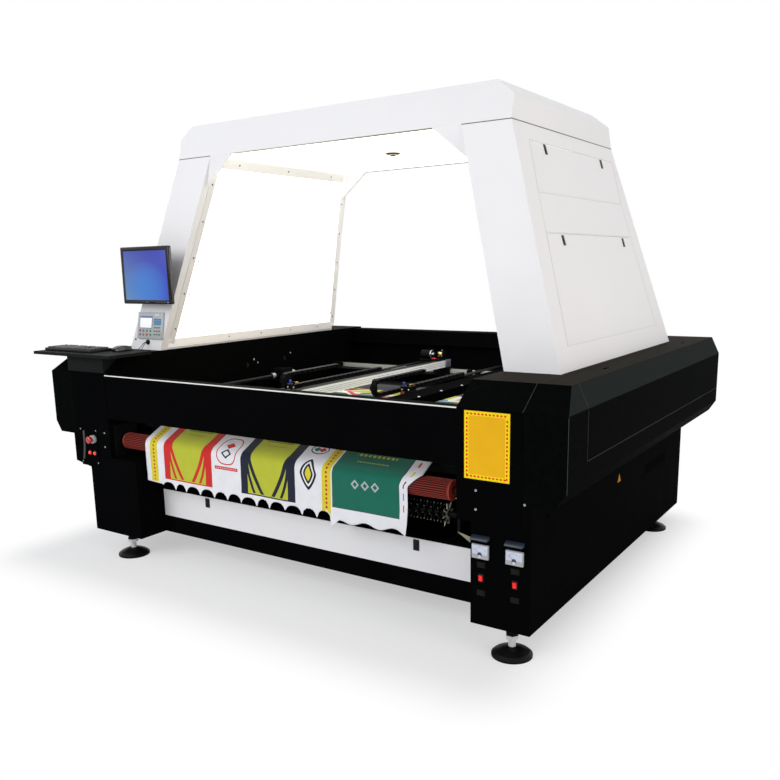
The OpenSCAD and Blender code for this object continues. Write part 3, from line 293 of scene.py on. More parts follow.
left_edge, right_edge, columns = -836, 792, 270
flare, flare_lift, flare_start = 58, 9, 700
verts, chart_places, faces = [], [], []
for j in range(hang_rows + len(section)):
    for i in range(columns + 1):
        x = left_edge + (right_edge - left_edge) * i / columns
        chart_x = x / 1000
        bent = max(0, x - flare_start) / (right_edge - flare_start)
        if j < hang_rows:
            low = hem_height(x)
            z = low + (roller.z - low) * j / hang_rows
            drop = roller.z - z
            y = roller.y - roller_over - soft_fold(x, drop)
            along = z - hem_line
            x += 5 * math.sin(along / 60) * bent + 10 * max(0, (-760 - x) / 76) * (drop / hang) ** 2
        else:
            k = j - hang_rows
            y, z = section[k]
            along = reach[k]
            over = min(1, k / 14) * max(0, 1 - max(0, k - 19) / 9)
            x += flare * bent ** 2 * over
            z += flare_lift * bent ** 2 * over
        verts.append(at(x, y, z))
        chart_places.append((chart_x, along / 1000))
        if i and j:
            corner = len(verts) - columns - 3
            faces.append((corner, corner + 1, corner + columns + 2, corner + columns + 1))
web = bpy.data.meshes.new("printed_web")
web.from_pydata(verts, [], faces)
chart = web.uv_layers.new(name="print")
for loop in web.loops:
    chart.data[loop.index].uv = chart_places[loop.vertex_index]
cloth = bpy.data.objects.new("printed_web", web)
bpy.context.collection.objects.link(cloth)
for p in web.polygons:
    p.use_smooth = True


def clear_selection():
    bpy.ops.object.select_all(action="DESELECT")


def pick(piece):
    clear_selection()
    bpy.context.view_layer.objects.active = piece
    piece.select_set(True)


pick(cloth)
thick = cloth.modifiers.new("thickness", "SOLIDIFY")
thick.thickness, thick.offset = 0.0009, 0
bpy.ops.object.modifier_apply(modifier="thickness")

# The print's own colours and shapes, in metres across and along the web
print_dye = bpy.data.materials.new("printed_polyester")
print_dye.use_nodes = True
dye_tree = print_dye.node_tree
chart_place = make(dye_tree, "UVMap", uv_map="print")
across_web, full_length = make(dye_tree, "SeparateXYZ", {0: chart_place}).node.outputs[:2]


def maths_in(tree):
    """Gives a function that adds a Math node to one material."""
    return lambda kind, *values: make(tree, "Math", dict(enumerate(values)), operation=kind)


maths = maths_in(dye_tree)
repeat_length = 0.47
along_web = maths("WRAP", full_length, repeat_length - 0.02, -0.02)
ink = (0.83, 0.83, 0.86)


def field(shape, colour):
    """Prints a colour over what is printed so far, where the shape is 1."""
    global ink
    ink = mixed(shape, ink, colour)


def oblong(left, right, low, high):
    """A rectangle between left and right across the web, and low and high along it."""
    wide = maths("COMPARE", across_web, (left + right) / 2, (right - left) / 2)
    long = maths("COMPARE", along_web, (low + high) / 2, (high - low) / 2)
    return maths("MULTIPLY", wide, long)


def sweep(edge, inward, start, width):
    """A stripe that leaves a side edge at start and curves inward towards the hem."""
    below = maths("MAXIMUM", maths("SUBTRACT", start, along_web), 0)
    shift = maths("MULTIPLY", maths("POWER", below, 1.7), inward)
    centre = maths("SUBTRACT", across_web, maths("ADD", shift, edge))
    near = maths("COMPARE", centre, 0, width)
    return maths("MULTIPLY", near, maths("GREATER_THAN", along_web, 0.062))


def disc(x, y, wide, high, power=2.0):
    """A filled round or, with power 1, a diamond."""
    u = maths("DIVIDE", maths("ABSOLUTE", maths("SUBTRACT", across_web, x)), wide)
    v = maths("DIVIDE", maths("ABSOLUTE", maths("SUBTRACT", along_web, y)), high)
    total = maths("ADD", maths("POWER", u, power), maths("POWER", v, power))
    return maths("LESS_THAN", total, 1)


def dots(left, right, low, high, pitch, radius, upright=False):
    """A row of small dots inside a rectangle."""
    run, line = (along_web, across_web) if upright else (across_web, along_web)
    centre = (left + right) / 2 if upright else (low + high) / 2
    place = maths("PINGPONG", maths("ADD", run, 4), pitch / 2)
    aside = maths("SUBTRACT", line, centre)
    apart = maths("ADD", maths("POWER", place, 2), maths("POWER", aside, 2))
    return maths("MULTIPLY", maths("LESS_THAN", apart, radius * radius), oblong(left, right, low, high))


lime, pine, blood = (0.5, 0.53, 0.035), (0.005, 0.14, 0.09), (0.62, 0.02, 0.018)
golden, pale = (0.72, 0.62, 0.03), (0.82, 0.82, 0.85)
ink_blue, line_blue = (0.008, 0.012, 0.03), (0.1, 0.25, 0.6)
# Two lime garment panels, each with a side colour, swept stripes and rows of dots
for left, right, side in ((-0.696, -0.352, blood), (-0.156, 0.181, ink_blue)):
    field(oblong(left, right, 0.052, 0.425), side)
    field(oblong(left + 0.043, right - 0.044, 0.058, 0.42), lime)
    for start, width in ((0.3, 0.011), (0.21, 0.008)):
        field(sweep(left + 0.043, 1.05, start, width), side)
        field(sweep(right - 0.044, -1.05, start, width), side)
    field(oblong(left + 0.05, right - 0.05, 0.385, 0.389), side)
    field(dots(left + 0.085, right - 0.085, 0.345, 0.365, 0.017, 0.0048), ink_blue)
    field(dots(left + 0.11, right - 0.11, 0.318, 0.33, 0.0105, 0.0024), ink_blue)
for left, right in ((-0.801, -0.746), (0.337, 0.388)):
    field(oblong(left, right, 0.03, 0.44), golden)
    field(dots(left + 0.016, right - 0.016, 0.04, 0.43, 0.02, 0.0062, upright=True), blood)
field(disc(0.3625, 0.028, 0.02, 0.022, 1), pale)
# Two plain badges on the white fields: a red ring round a dark lozenge, and a dark lozenge
badge, lozenge = -0.254, 0.259
field(disc(badge, 0.26, 0.066, 0.082, 3), blood)
field(disc(badge, 0.26, 0.06, 0.076, 3), pale)
field(disc(badge, 0.285, 0.03, 0.022, 1), blood)
field(disc(badge, 0.235, 0.034, 0.026, 1), ink_blue)
field(disc(badge, 0.235, 0.022, 0.015, 1), pale)
field(oblong(-0.33, -0.178, 0.152, 0.168), blood)
field(dots(-0.32, -0.188, 0.155, 0.165, 0.014, 0.003), pale)
field(disc(lozenge, 0.345, 0.05, 0.032), ink_blue)
field(disc(lozenge, 0.345, 0.044, 0.026), pale)
field(disc(lozenge - 0.015, 0.345, 0.022, 0.016, 1), pine)
field(disc(lozenge + 0.015, 0.345, 0.022, 0.016, 1), blood)
for wide, high, colour in ((0.048, 0.076, ink_blue), (0.036, 0.06, pale), (0.028, 0.048, ink_blue),
                           (0.018, 0.034, golden)):
    field(disc(lozenge, 0.2, wide, high, 1.3), colour)
# The green panel at the right, with three rows of dots and three small diamonds
field(oblong(0.395, 0.75, 0.066, 0.425), (0.05, 0.05, 0.055))
field(oblong(0.398, 0.747, 0.069, 0.422), pine)
field(dots(0.45, 0.7, 0.385, 0.395, 0.012, 0.0022), lime)
field(dots(0.47, 0.68, 0.335, 0.36, 0.024, 0.008), lime)
field(dots(0.49, 0.66, 0.298, 0.308, 0.013, 0.0036), lime)
for place in (0.52, 0.573, 0.626):
    field(disc(place, 0.185, 0.022, 0.022, 1), (0.45, 0.5, 0.5))
    field(disc(place, 0.185, 0.012, 0.012, 1), pine)
for low, colour in ((0.1, blood), (0.15, line_blue), (0.2, ink_blue), (0.25, golden), (0.31, blood),
                    (0.36, line_blue)):
    field(oblong(0.768, 0.7735, low, low + 0.03), colour)
# The middle of the bed carries the next garment: a green band, blue ovals and lime panels
along_web = full_length
royal, orange, deep_green = (0.02, 0.07, 0.36), (0.72, 0.3, 0.02), (0.002, 0.075, 0.045)


def on_bed(y):
    """How far along the web a place on the bed lies, y behind the front face."""
    return (reach[-1] - web_end + y) / 1000


field(oblong(-0.85, 0.8, on_bed(1190), on_bed(1810)), pale)
field(oblong(-0.85, 0.8, on_bed(1190), on_bed(1382)), deep_green)
for centre in (-0.569, -0.044, 0.481):
    field(oblong(centre - 0.26, centre + 0.265, on_bed(1387), on_bed(1394)), lime)
    field(oblong(centre - 0.24, centre + 0.24, on_bed(1440), on_bed(1640)), lime)
    field(disc(centre + 0.2, on_bed(1416), 0.055, 0.024), royal)
    field(oblong(centre + 0.04, centre + 0.09, on_bed(1401), on_bed(1431)), orange)
    field(disc(centre, on_bed(1530), 0.075, 0.04, 1), ink_blue)
    for edge, width, colour in ((0.2, 0.02, blood), (0.245, 0.012, pale)):
        field(sweep(centre - edge, 1.4, on_bed(1800), width), colour)
        field(sweep(centre + edge, -1.4, on_bed(1800), width), colour)
field(oblong(-0.9, 0.9, on_bed(1580), on_bed(1812)), ink_blue)
# Knit: a fine rib, soft creases and slightly uneven dye
faded = noise(dye_tree, chart_place, 14, 5)
uneven = make(dye_tree, "MapRange", {"Value": faded, "To Min": 0.88, "To Max": 1.06})
dyed = make(dye_tree, "Mix", {"Factor": 1, "A": ink, "B": uneven}, take="Result", data_type="RGBA",
            blend_type="MULTIPLY")
rib = make(dye_tree, "TexWave", {"Vector": chart_place, "Scale": 260, "Distortion": 1.5}, take="Fac")
knit = make(dye_tree, "Bump", {"Height": rib, "Strength": 0.25, "Distance": 0.0006})
crease = make(dye_tree, "Bump", {"Height": faded, "Normal": knit, "Strength": 0.35, "Distance": 0.004})
set_skin(print_dye, Base_Color=dyed, Roughness=0.82, Sheen_Weight=0.15, Specular_IOR_Level=0.2, Normal=crease)
cloth.data.materials.append(print_dye)
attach(cloth, "machine")
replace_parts(cloth, "printed_fabric")

# Monitor: a flat screen in a glossy black moulded case, with a softly lit blue picture, a row of
# small buttons and a lamp under it. It tilts on a knuckle that is bolted to the tower's front.


def settle(piece, finish, body, soft_edge=35):
    """Gives a finished piece its material and its body, and shades it smooth."""
    piece.data.materials.clear()
    piece.data.materials.append(finish)
    pick(piece)
    bpy.ops.object.shade_smooth_by_angle(angle=math.radians(soft_edge))
    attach(piece, body)
    return piece


def block(name, low, high, edge, finish, body, slot_name, steps=2):
    """A plate or case between two corners in millimetres, with its edges rounded."""
    clear_selection()
    low, high = at(*low), at(*high)
    bpy.ops.mesh.primitive_cube_add(size=1, location=(low + high) / 2)
    piece = bpy.context.object
    piece.name = name
    piece.scale = high - low
    bpy.ops.object.transform_apply(location=True, rotation=True, scale=True)
    bpy.ops.object.mode_set(mode="EDIT")
    bpy.ops.mesh.select_all(action="SELECT")
    bpy.ops.mesh.bevel(offset=edge / 1000, segments=steps, affect="EDGES")
    bpy.ops.object.mode_set(mode="OBJECT")
    return settle(piece, finish, body)


def turned(name, steps, place, axis, finish, body, slot_name, sides=32, soft_edge=35):
    """A turned piece: a disc drawn up and resized through (radius, height) steps, in
    millimetres, and laid along its axis from a place."""
    clear_selection()
    radius, height = steps[0]
    bpy.ops.mesh.primitive_circle_add(vertices=sides, radius=radius / 1000, fill_type="NGON")
    piece = bpy.context.object
    piece.name = name
    bpy.ops.object.mode_set(mode="EDIT")
    for new_radius, new_height in steps[1:]:
        bpy.ops.mesh.extrude_region_move(
            TRANSFORM_OT_translate={"value": (0, 0, (new_height - height) / 1000)})
        if new_radius != radius:
            ratio = new_radius / radius
            bpy.ops.transform.resize(value=(ratio, ratio, 1), center_override=(0, 0, 0))
        radius, height = new_radius, new_height
    bpy.ops.mesh.select_all(action="SELECT")
    bpy.ops.mesh.normals_make_consistent(inside=False)
    bpy.ops.object.mode_set(mode="OBJECT")
    lay = Vector(axis).to_track_quat("Z", "Y").to_matrix().to_4x4()
    start = Matrix.Translation((0, 0, steps[0][1] / 1000))
    piece.data.transform(Matrix.Translation(at(*place)) @ lay @ start)
    return settle(piece, finish, body, soft_edge)


def joined(name, pieces):
    """Makes one piece of several that are fixed together."""
    pick(pieces[0])
    for piece in pieces:
        piece.select_set(True)
    bpy.ops.object.join()
    pieces[0].name = name
    return pieces[0]


def lamp_finish(name, colour, strength):
    """A lens or a screen that shines by itself."""
    made = finish_of(name, colour, 0.25, shade=0.04, grain=0.03)
    set_skin(made, Emission_Color=(*colour, 1), Emission_Strength=strength)
    return made


screen_low, screen_high = corners("monitor")
case_left, case_front, case_low = screen_low
case_right, case_high = screen_high.x, screen_high.z
case_thick, back_thick, bezel, case_edge = 24, 22, 22, 7
case_back, knuckle_x = case_front + case_thick, -1083
case_gloss = finish_of("glossy_black_case", (0.006, 0.006, 0.007), 0.16, shade=0.1, grain=0.03,
                       coat=0.4, specular=0.15)
gloss_case = (case_gloss, "monitor", "gloss_black")
case = block("monitor_case", screen_low, (case_right, case_back, case_high), case_edge, *gloss_case, 3)
bpy.ops.object.mode_set(mode="EDIT")
bpy.ops.mesh.select_all(action="DESELECT")
bpy.ops.object.mode_set(mode="OBJECT")
for side in case.data.polygons:
    side.select = side.normal.y < -0.99 and side.area > 0.05
bpy.ops.object.mode_set(mode="EDIT")
bpy.ops.mesh.inset(thickness=(bezel - case_edge) / 1000, depth=0)
bpy.ops.mesh.inset(thickness=0.0015, depth=-0.0022)
bpy.ops.object.mode_set(mode="OBJECT")
shroud = block("monitor_shroud", (knuckle_x - 130, case_back - 1, case_low + 50),
               (knuckle_x + 130, case_back + back_thick, case_high - 60), 9, *gloss_case, 3)
lugs = [block("lug", (x, case_front + 45, 1491), (x + 9.5, case_front + 73, 1509), 2, *gloss_case)
        for x in (knuckle_x - 24, knuckle_x + 14.5)]
pin = turned("pin", ((5, 0), (5, 40)), (knuckle_x - 20, case_front + 66, 1500), (1, 0, 0), *gloss_case)
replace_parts(joined("monitor_case", [case, shroud, *lugs, pin]), "monitor")

# The picture is lightest near its lower middle and runs from a grey blue to a deep one.
picture = bpy.data.materials.new("screen_picture")
picture.use_nodes = True
tree = picture.node_tree
shares = maths_in(tree)
from_corner = make(tree, "Mapping", {"Vector": make(tree, "TexCoord", take="Object"),
                                     "Location": -at(case_left, case_front, case_low)})
parts = make(tree, "SeparateXYZ", {0: from_corner}).node.outputs
aside, up = shares("MULTIPLY", parts["X"], 2.5), shares("MULTIPLY", parts["Z"], 3.2)
near_glow = shares("ADD", shares("POWER", shares("SUBTRACT", aside, 0.48), 2),
                   shares("POWER", shares("SUBTRACT", up, 0.3), 2))
glow_share = shares("MAXIMUM", shares("SUBTRACT", 0.62, shares("MULTIPLY", near_glow, 3.0)), 0)
left_part = mixed(up, (0.17, 0.34, 0.46), (0.05, 0.055, 0.42))
right_part = mixed(up, (0.045, 0.08, 0.66), (0.042, 0.034, 0.42))
blues = mixed(glow_share, mixed(aside, left_part, right_part), (0.055, 0.27, 0.78))
set_skin(picture, Base_Color=(0.01, 0.02, 0.05, 1), Roughness=0.3, Specular_IOR_Level=0.2,
         Emission_Color=blues, Emission_Strength=0.82)
block("monitor_screen", (case_left + bezel - 0.5, case_front + 1.2, case_low + bezel),
      (case_right - bezel + 0.5, case_front + 2.4, case_high - bezel), 0.4, picture, "monitor",
      "gloss_black")
button_grey = finish_of("case_button_grey", (0.08, 0.08, 0.085), 0.35)
grey_button = (button_grey, "monitor", "gloss_black")
joined("monitor_buttons", [
    block("case_button", (-1010 + i * 17, case_front - 1, case_low + 8),
          (-1000 + i * 17, case_front + 1, case_low + 12), 0.6, *grey_button) for i in range(5)])
block("monitor_side_trim", (case_right - 1, case_front + 7, case_low + 9),
      (case_right + 0.5, case_front + 17, case_high - 9), 0.5, *grey_button)
block("monitor_lamp", (-918, case_front - 0.8, case_low + 8.5), (-912, case_front + 1, case_low + 11),
      0.5, lamp_finish("blue_lamp", (0.35, 0.6, 1.0), 1.2), "monitor", "gloss_black")
block("monitor_mark", (-1094, case_front - 0.5, case_low + 8), (-1072, case_front + 1, case_low + 12),
      0.4, *grey_button)

# Keypad: a silver-grey membrane panel on the tower's leaning front, with a pale display, a block of
# blue keys, small grey keys, two red ones and a green one.
lean_back = math.atan2(178, 1035)
pad_left, pad_y, pad_base, pad_wide, pad_high, panel_face = -1248, 404.19, 1146, 206, 150, 12
face_y = pad_y - panel_face


def about(pivot, angle, axis):
    """A turn by an angle about a place."""
    return Matrix.Translation(pivot) @ Matrix.Rotation(angle, 4, axis) @ Matrix.Translation(-pivot)


def pad_key(name, x, z, wide, high, proud, finish):
    return block(name, (pad_left + x, face_y - proud, pad_base + z),
                 (pad_left + x + wide, face_y + 0.5, pad_base + z + high), 0.7, finish, "machine",
                 "grey_plastic")


panel_grey = finish_of("silver_grey_film", (0.46, 0.49, 0.49), 0.4, grain=0.2)
window_white = lamp_finish("pale_display", (0.8, 0.8, 0.86), 0.38)
bar_blue = lamp_finish("display_bar_blue", (0.08, 0.09, 0.5), 0.4)
blue_key = finish_of("blue_key_film", (0.05, 0.26, 0.5), 0.4)
grey_key = finish_of("grey_key_film", (0.13, 0.14, 0.15), 0.45)
red_key = finish_of("red_key_film", (0.6, 0.02, 0.015), 0.4)
green_key = finish_of("green_key_film", (0.01, 0.28, 0.06), 0.4)
# Painted highlight: a pale patch for the gleam on the keypad's film
keypad_gleam_paint = finish_of("painted_gleam", (0.75, 0.76, 0.78), 0.3)
panel = block("keypad_panel", (pad_left, face_y, pad_base), (pad_left + pad_wide, pad_y, pad_base + pad_high),
              1.6, panel_grey, "machine", "grey_plastic")
pad = [pad_key("keypad_frame", 19, 59, 102, 68, 1.8, grey_key),
       pad_key("keypad_display", 21.5, 61.5, 97, 63, 2.4, window_white),
       pad_key("keypad_display_bar", 21.5, 117, 97, 7.5, 2.6, bar_blue)]
pad.append(joined("keypad_blue_keys", [
    pad_key("key", 134 + i * 21, 79 + j * 12.4, 18.5, 10.5, 1.8, blue_key)
    for i in range(3) for j in range(3)]))
grey_keys = [pad_key("key", 138 + i * 20, 21 + j * 19.5, 12, 8, 1.8, grey_key)
             for i in range(3) for j in range(3)]
grey_keys += [pad_key("key", 17 + i * 29, 17 + j * 22, 12, 12, 1.8, grey_key)
              for i, j in ((0, 0), (1, 0), (1, 1), (2, 1), (3, 1))]
pad.append(joined("keypad_grey_keys", grey_keys))
pad.append(joined("keypad_red_keys", [
    pad_key("key", x, z, 13, 13, 2, red_key) for x, z in ((17, 39), (75, 17))]))
pad.append(pad_key("keypad_green_key", 104, 17, 13, 13, 2, green_key))
# The pale patch here is a painted gleam
pad.append(pad_key("keypad_plate", 140, 130, 34, 10, 1.6, keypad_gleam_paint))
for piece in (panel, *pad):
    piece.data.transform(about(at(pad_left, pad_y, pad_base), -lean_back, "X"))
port = turned("cord_port", ((14, 0), (14, 7), (12, 8.4), (7, 8.4), (6, 6)), (-1165, 402.5, 1128),
              (0, -1, 0), dark_plastic, "machine", "black_plastic", 40)
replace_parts(joined("keypad_panel", [panel, port]), "keypad")
turned("keypad_screw", ((5, -1), (5, 1.5), (3.4, 2.6)), (-1272, 402.6, 1141), (0, -1, 0.17),
       dark_iron, "machine", "dark_steel", 16)

# Keyboard: a flat black moulded case, with rows of separate moulded keys that stand in it and
# carry no print.
board_low, board_high = corners("keyboard")
board_left, board_front, board_foot = board_low
board_black = finish_of("keyboard_black", (0.009, 0.0095, 0.01), 0.45, grain=0.3, specular=0.2)
key_black = finish_of("key_black", (0.02, 0.021, 0.022), 0.38, grain=0.25, grain_size=1600)
board = block("keyboard_case", board_low, (board_high.x, board_high.y, board_foot + 15), 4,
              board_black, "machine", "black_plastic", 3)
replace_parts(board, "keyboard")
key_pitch, key_gap, row_pitch, key_deep, dish = 19.6, 2.2, 20, 16.5, 0.16
main_keys, middle_keys, end_keys = 12, 300, 348


def key_cap(x, row, wide):
    """A key whose top is drawn in towards its middle."""
    y = board_front + 12 + row * row_pitch + (4 if row == 5 else 0)
    cap = block("key_cap", (x, y, board_foot + 14), (x + wide, y + key_deep, board_foot + 21.5), 1.2,
                key_black, "machine", "black_plastic")
    centre = at(x + wide / 2, y + key_deep / 2 + 1, board_foot)
    for v in cap.data.vertices:
        if v.co.z > (board_foot + 20) / 1000:
            v.co.x += (centre.x - v.co.x) * dish
            v.co.y += (centre.y - v.co.y) * dish
    return cap


caps = []
for row in range(6):
    for group_left, count in ((main_keys, 14), (middle_keys, 3), (end_keys, 2)):
        # The space bar's room, the gaps over the arrow keys and the gaps in the top row stay free
        free = {(main_keys, 0): range(3, 9), (middle_keys, 1): (0, 2), (middle_keys, 2): range(3),
                (main_keys, 5): (1, 6, 10)}.get((group_left, row), ())
        pitch = 14.6 if group_left == middle_keys else key_pitch
        caps += [key_cap(board_left + group_left + i * pitch, row, pitch - key_gap)
                 for i in range(count) if i not in free]
caps.append(key_cap(board_left + main_keys + 3 * key_pitch, 0, 6 * key_pitch - key_gap))
joined("keyboard_keys", caps)

# Mouse: a low black moulded shell, drawn in towards its ends and rounded all over, with a rubber
# wheel set in its front.
mouse_x, mouse_y = middle("mouse")[:2]
mouse_foot = corners("mouse")[0].z
half_long, mouse_high = 0.056, 0.03
clear_selection()
bpy.ops.mesh.primitive_cube_add(size=1, location=at(mouse_x, mouse_y, mouse_foot + 15))
shell = bpy.context.object
shell.name = "mouse_shell"
shell.scale = (0.054, 2 * half_long, mouse_high)
bpy.ops.object.transform_apply(location=True, rotation=True, scale=True)
bpy.ops.object.mode_set(mode="EDIT")
bpy.ops.mesh.select_all(action="SELECT")
bpy.ops.mesh.subdivide(number_cuts=3)
bpy.ops.object.mode_set(mode="OBJECT")
foot = at(mouse_x, mouse_y, mouse_foot)
for v in shell.data.vertices:
    along = (v.co.y - foot.y) / half_long
    high = (v.co.z - foot.z) / mouse_high
    v.co.x += (foot.x - v.co.x) * (0.22 * along * along + 0.12 * high)
    v.co.z = foot.z + (v.co.z - foot.z) * (1 - 0.42 * along * along)
smooth = shell.modifiers.new("rounding", "SUBSURF")
smooth.levels = smooth.render_levels = 2
bpy.ops.object.modifier_apply(modifier="rounding")
settle(shell, finish_of("mouse_black", (0.008, 0.008, 0.009), 0.24, coat=0.3, specular=0.4), "machine",
       60)
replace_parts(shell, "mouse")
turned("mouse_wheel", ((4, 0), (9, 1), (9, 6), (4, 7)), (mouse_x - 3.5, mouse_y - 30, mouse_foot + 18),
       (1, 0, 0), grey_key, "machine", "black_plastic", 24)

# Cords: the thin black leads of the mouse and the keyboard leave the socket under the keypad,
# drop to the deck, climb the edge of the tray and end in moulded reliefs at the two.
jacket = finish_of("black_cable_jacket", (0.012, 0.012, 0.013), 0.42, grain=0.1, grain_size=1500)
mouse_route = [
    (-1160, 394, 1128), (-1160, 388, 1128), (-1160, 380, 1126.5), (-1159.5, 372, 1122.5),
    (-1159, 365, 1116.5), (-1158, 358, 1108.5), (-1156, 350, 1100), (-1153, 341, 1093),
    (-1150, 331, 1089), (-1147, 320, 1087.5), (-1143, 308, 1087.5), (-1138, 296, 1088),
    (-1133, 284, 1090), (-1128.5, 272, 1094.5), (-1125.5, 260, 1100), (-1124, 249, 1104),
    (-1124, 239.5, 1105),
]
keyboard_route = [
    (-1171, 394, 1128), (-1171, 387, 1128), (-1171, 379, 1126), (-1171.5, 371, 1121.5),
    (-1172, 363, 1114.5), (-1173, 355, 1106.5), (-1175, 346, 1098.5), (-1178, 336, 1092),
    (-1182, 324, 1088.5), (-1188, 310, 1087.5), (-1195, 296, 1088), (-1203, 282, 1090.5),
    (-1212, 268, 1095.5), (-1222, 255, 1100.5), (-1233, 243, 1104), (-1246, 232, 1104.5),
    (-1260, 222, 1104), (-1274, 212, 1104), (-1287, 201, 1104), (-1297, 190, 1104.5),
    (-1303, 178, 1106), (-1306, 165.5, 1108),
]
for name, cad_cord, route, relief_end, relief_axis in (
    ("mouse_lead", "mouse_cable", mouse_route, (-1124, 243, 1104.6), (0, -1, 0.05)),
    ("keyboard_lead", "keyboard_cable", keyboard_route, (-1305, 169.5, 1107.5), (-0.2, -1, 0.1)),
):
    points = [at(*p) for p in route]
    line = bpy.data.curves.new(name, "CURVE")
    line.dimensions, line.bevel_depth, line.bevel_resolution = "3D", 0.0019, 3
    line.resolution_u, line.use_fill_caps = 4, True
    spline = line.splines.new("BEZIER")
    spline.bezier_points.add(len(points) - 1)
    for knot, point in zip(spline.bezier_points, points):
        knot.co, knot.handle_left_type, knot.handle_right_type = point, "AUTO", "AUTO"
    lead = bpy.data.objects.new(name, line)
    bpy.context.collection.objects.link(lead)
    lead.data.materials.append(jacket)
    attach(lead, "machine")
    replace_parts(lead, cad_cord)
    turned(name + "_relief", ((2.1, 0), (2.6, 1), (3, 5)), relief_end, relief_axis, jacket, "machine",
           "cable_black", 16)

# Hand controls: a red mushroom for the emergency stop, two lit buttons and a rubber grip strip on
# the folded switch plate at the left front.
to_front = (0, -1, 0)
cover_grey = finish_of("meter_cover_grey", (0.42, 0.42, 0.43), 0.25, coat=0.3)
mushroom_red = finish_of("mushroom_red", (0.5, 0.012, 0.01), 0.25, coat=0.5, shade=0.1)
stop_x, stop_z, button_z = -1184, 638, 563
stop = turned("emergency_stop_knob", ((9, -12), (9, 0), (13, 0.4), (19, 3), (20, 8), (19, 13),
                                      (14, 17), (6, 18)),
              (stop_x, -26, stop_z), to_front, mushroom_red, "emergency_stop", "red_button", 48, 50)
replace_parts(stop, "emergency_stop")
turned("stop_collar", ((21.2, 0), (23, 0), (23, 13), (21.2, 15.4), (12, 15.4)), (stop_x, -3, stop_z),
       to_front, cover_grey, "machine", "steel", 40)
lit_red = lamp_finish("lit_red_lens", (1.0, 0.035, 0.015), 0.85)
for name, x in (("start_button", -1208), ("pause_button", -1168)):
    lens = turned(name + "_lens", ((9, -13), (9, 0), (8.8, 2.4), (7, 4.6), (3, 5.6)),
                  (x, -17, button_z), to_front, lit_red, name, "red_lamp", 32, 50)
    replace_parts(lens, name)
    turned(name + "_ring", ((9.4, 0), (14, 0), (14.5, 3), (12, 5), (9.6, 5)), (x, -10.5, button_z),
           to_front, dark_plastic, "machine", "black_plastic", 32)
grip_grey = finish_of("grey_rubber", (0.03, 0.033, 0.033), 0.6, grain=0.4, grain_size=500)
grip_foot, grip_head = 519, 678
grip = block("grip_strip", (-1277, -9, grip_foot), (-1262, -2.5, grip_head), 3, grip_grey, "machine",
             "black_plastic", 3)
bpy.ops.object.mode_set(mode="EDIT")
bpy.ops.mesh.select_all(action="SELECT")
bpy.ops.mesh.subdivide(number_cuts=6)
bpy.ops.object.mode_set(mode="OBJECT")
for v in grip.data.vertices:
    share = (v.co.z * 1000 - grip_foot) / (grip_head - grip_foot)
    v.co.x += 0.007 * math.sin(math.pi * share) + 0.016 * (share - 0.5)
settle(grip, grip_grey, "machine")

# Meters: square dials with a pale face, a scale, a needle and a grey lower cover with its knob,
# each under a curved hood. The sockets have thin frames and the rockers are clear red plastic.
face_white = finish_of("meter_face_white", (0.6, 0.65, 0.78), 0.35, shade=0.04, grain=0.05)
hood_blue = finish_of("hood_blue_grey", (0.016, 0.024, 0.04), 0.4, grain=0.2)
frame_brown = finish_of("socket_frame", (0.011, 0.0105, 0.008), 0.5, specular=0.05)
rocker_red = lamp_finish("clear_red_rocker", (0.75, 0.006, 0.004), 0.4)
paint(rocker_red, "left_rocker", "right_rocker")
meter_z, meter_wide, meter_high, hood_deep = 433, 71, 56, 0.025
for side_name, x in (("left", 1162), ("right", 1307)):
    left, right, foot = x - meter_wide / 2, x + meter_wide / 2, meter_z - meter_high / 2
    head, pivot = foot + meter_high, at(x, -14, foot + 14)
    block(side_name + "_meter_case", (left - 1, -13, foot - 1), (right + 1, -1, head + 1), 2.5,
          cover_grey, "machine", "meter_face", 3)
    block(side_name + "_meter_dial", (left + 3, -13.8, foot + 18), (right - 3, -12.6, head - 3), 0.8,
          face_white, "machine", "meter_face")
    turned(side_name + "_meter_knob", ((6.5, 0), (6.5, 2), (5, 3.4), (2, 3.6)), (x, -12.8, foot + 10),
           to_front, face_white, "machine", "meter_face", 24)
    turned(side_name + "_meter_arch", ((9, 0), (9, 1.2), (7, 1.4)), (x, -13.6, foot + 18), to_front,
           grip_grey, "machine", "meter_face", 32)
    ticks = []
    for i in range(11):
        tick_head = foot + (51 if i % 5 == 0 else 48)
        ticks.append(block("tick", (x - 0.35, -14.1, foot + 45), (x + 0.35, -13.7, tick_head), 0.1,
                           dark_plastic, "machine", "meter_face", 1))
        ticks[-1].data.transform(about(pivot, math.radians(-48 + 9.6 * i), "Y"))
    joined(side_name + "_meter_scale", ticks)
    needle = block(side_name + "_meter_needle", (x - 0.5, -14.6, foot + 20), (x + 0.5, -14.1, foot + 47),
                   0.2, mushroom_red, "machine", "meter_face", 1)
    needle.data.transform(about(pivot, math.radians(-38), "Y"))
    hood = block(side_name + "_meter_hood", (x - 38.5, -25, 481), (x + 38.5, -0.2, 498), 3.5, hood_blue,
                 "machine", "meter_face", 3)
    for v in hood.data.vertices:
        forward = (front_y - v.co.y) / hood_deep
        v.co.z -= 0.013 * forward * forward * (1 if v.co.z > 0.49 else 0.12)
    for name, z in (("upper", 376), ("lower", 260)):
        block(f"{side_name}_{name}_socket_frame", (x - 18, -2.2, z - 12), (x + 18, -0.1, z + 12), 1,
              frame_brown, "machine", "black_plastic")
    block(side_name + "_rocker_frame", (x - 13, -3.4, 305), (x + 13, -0.1, 341), 1, dark_plastic,
          "machine", "black_plastic")

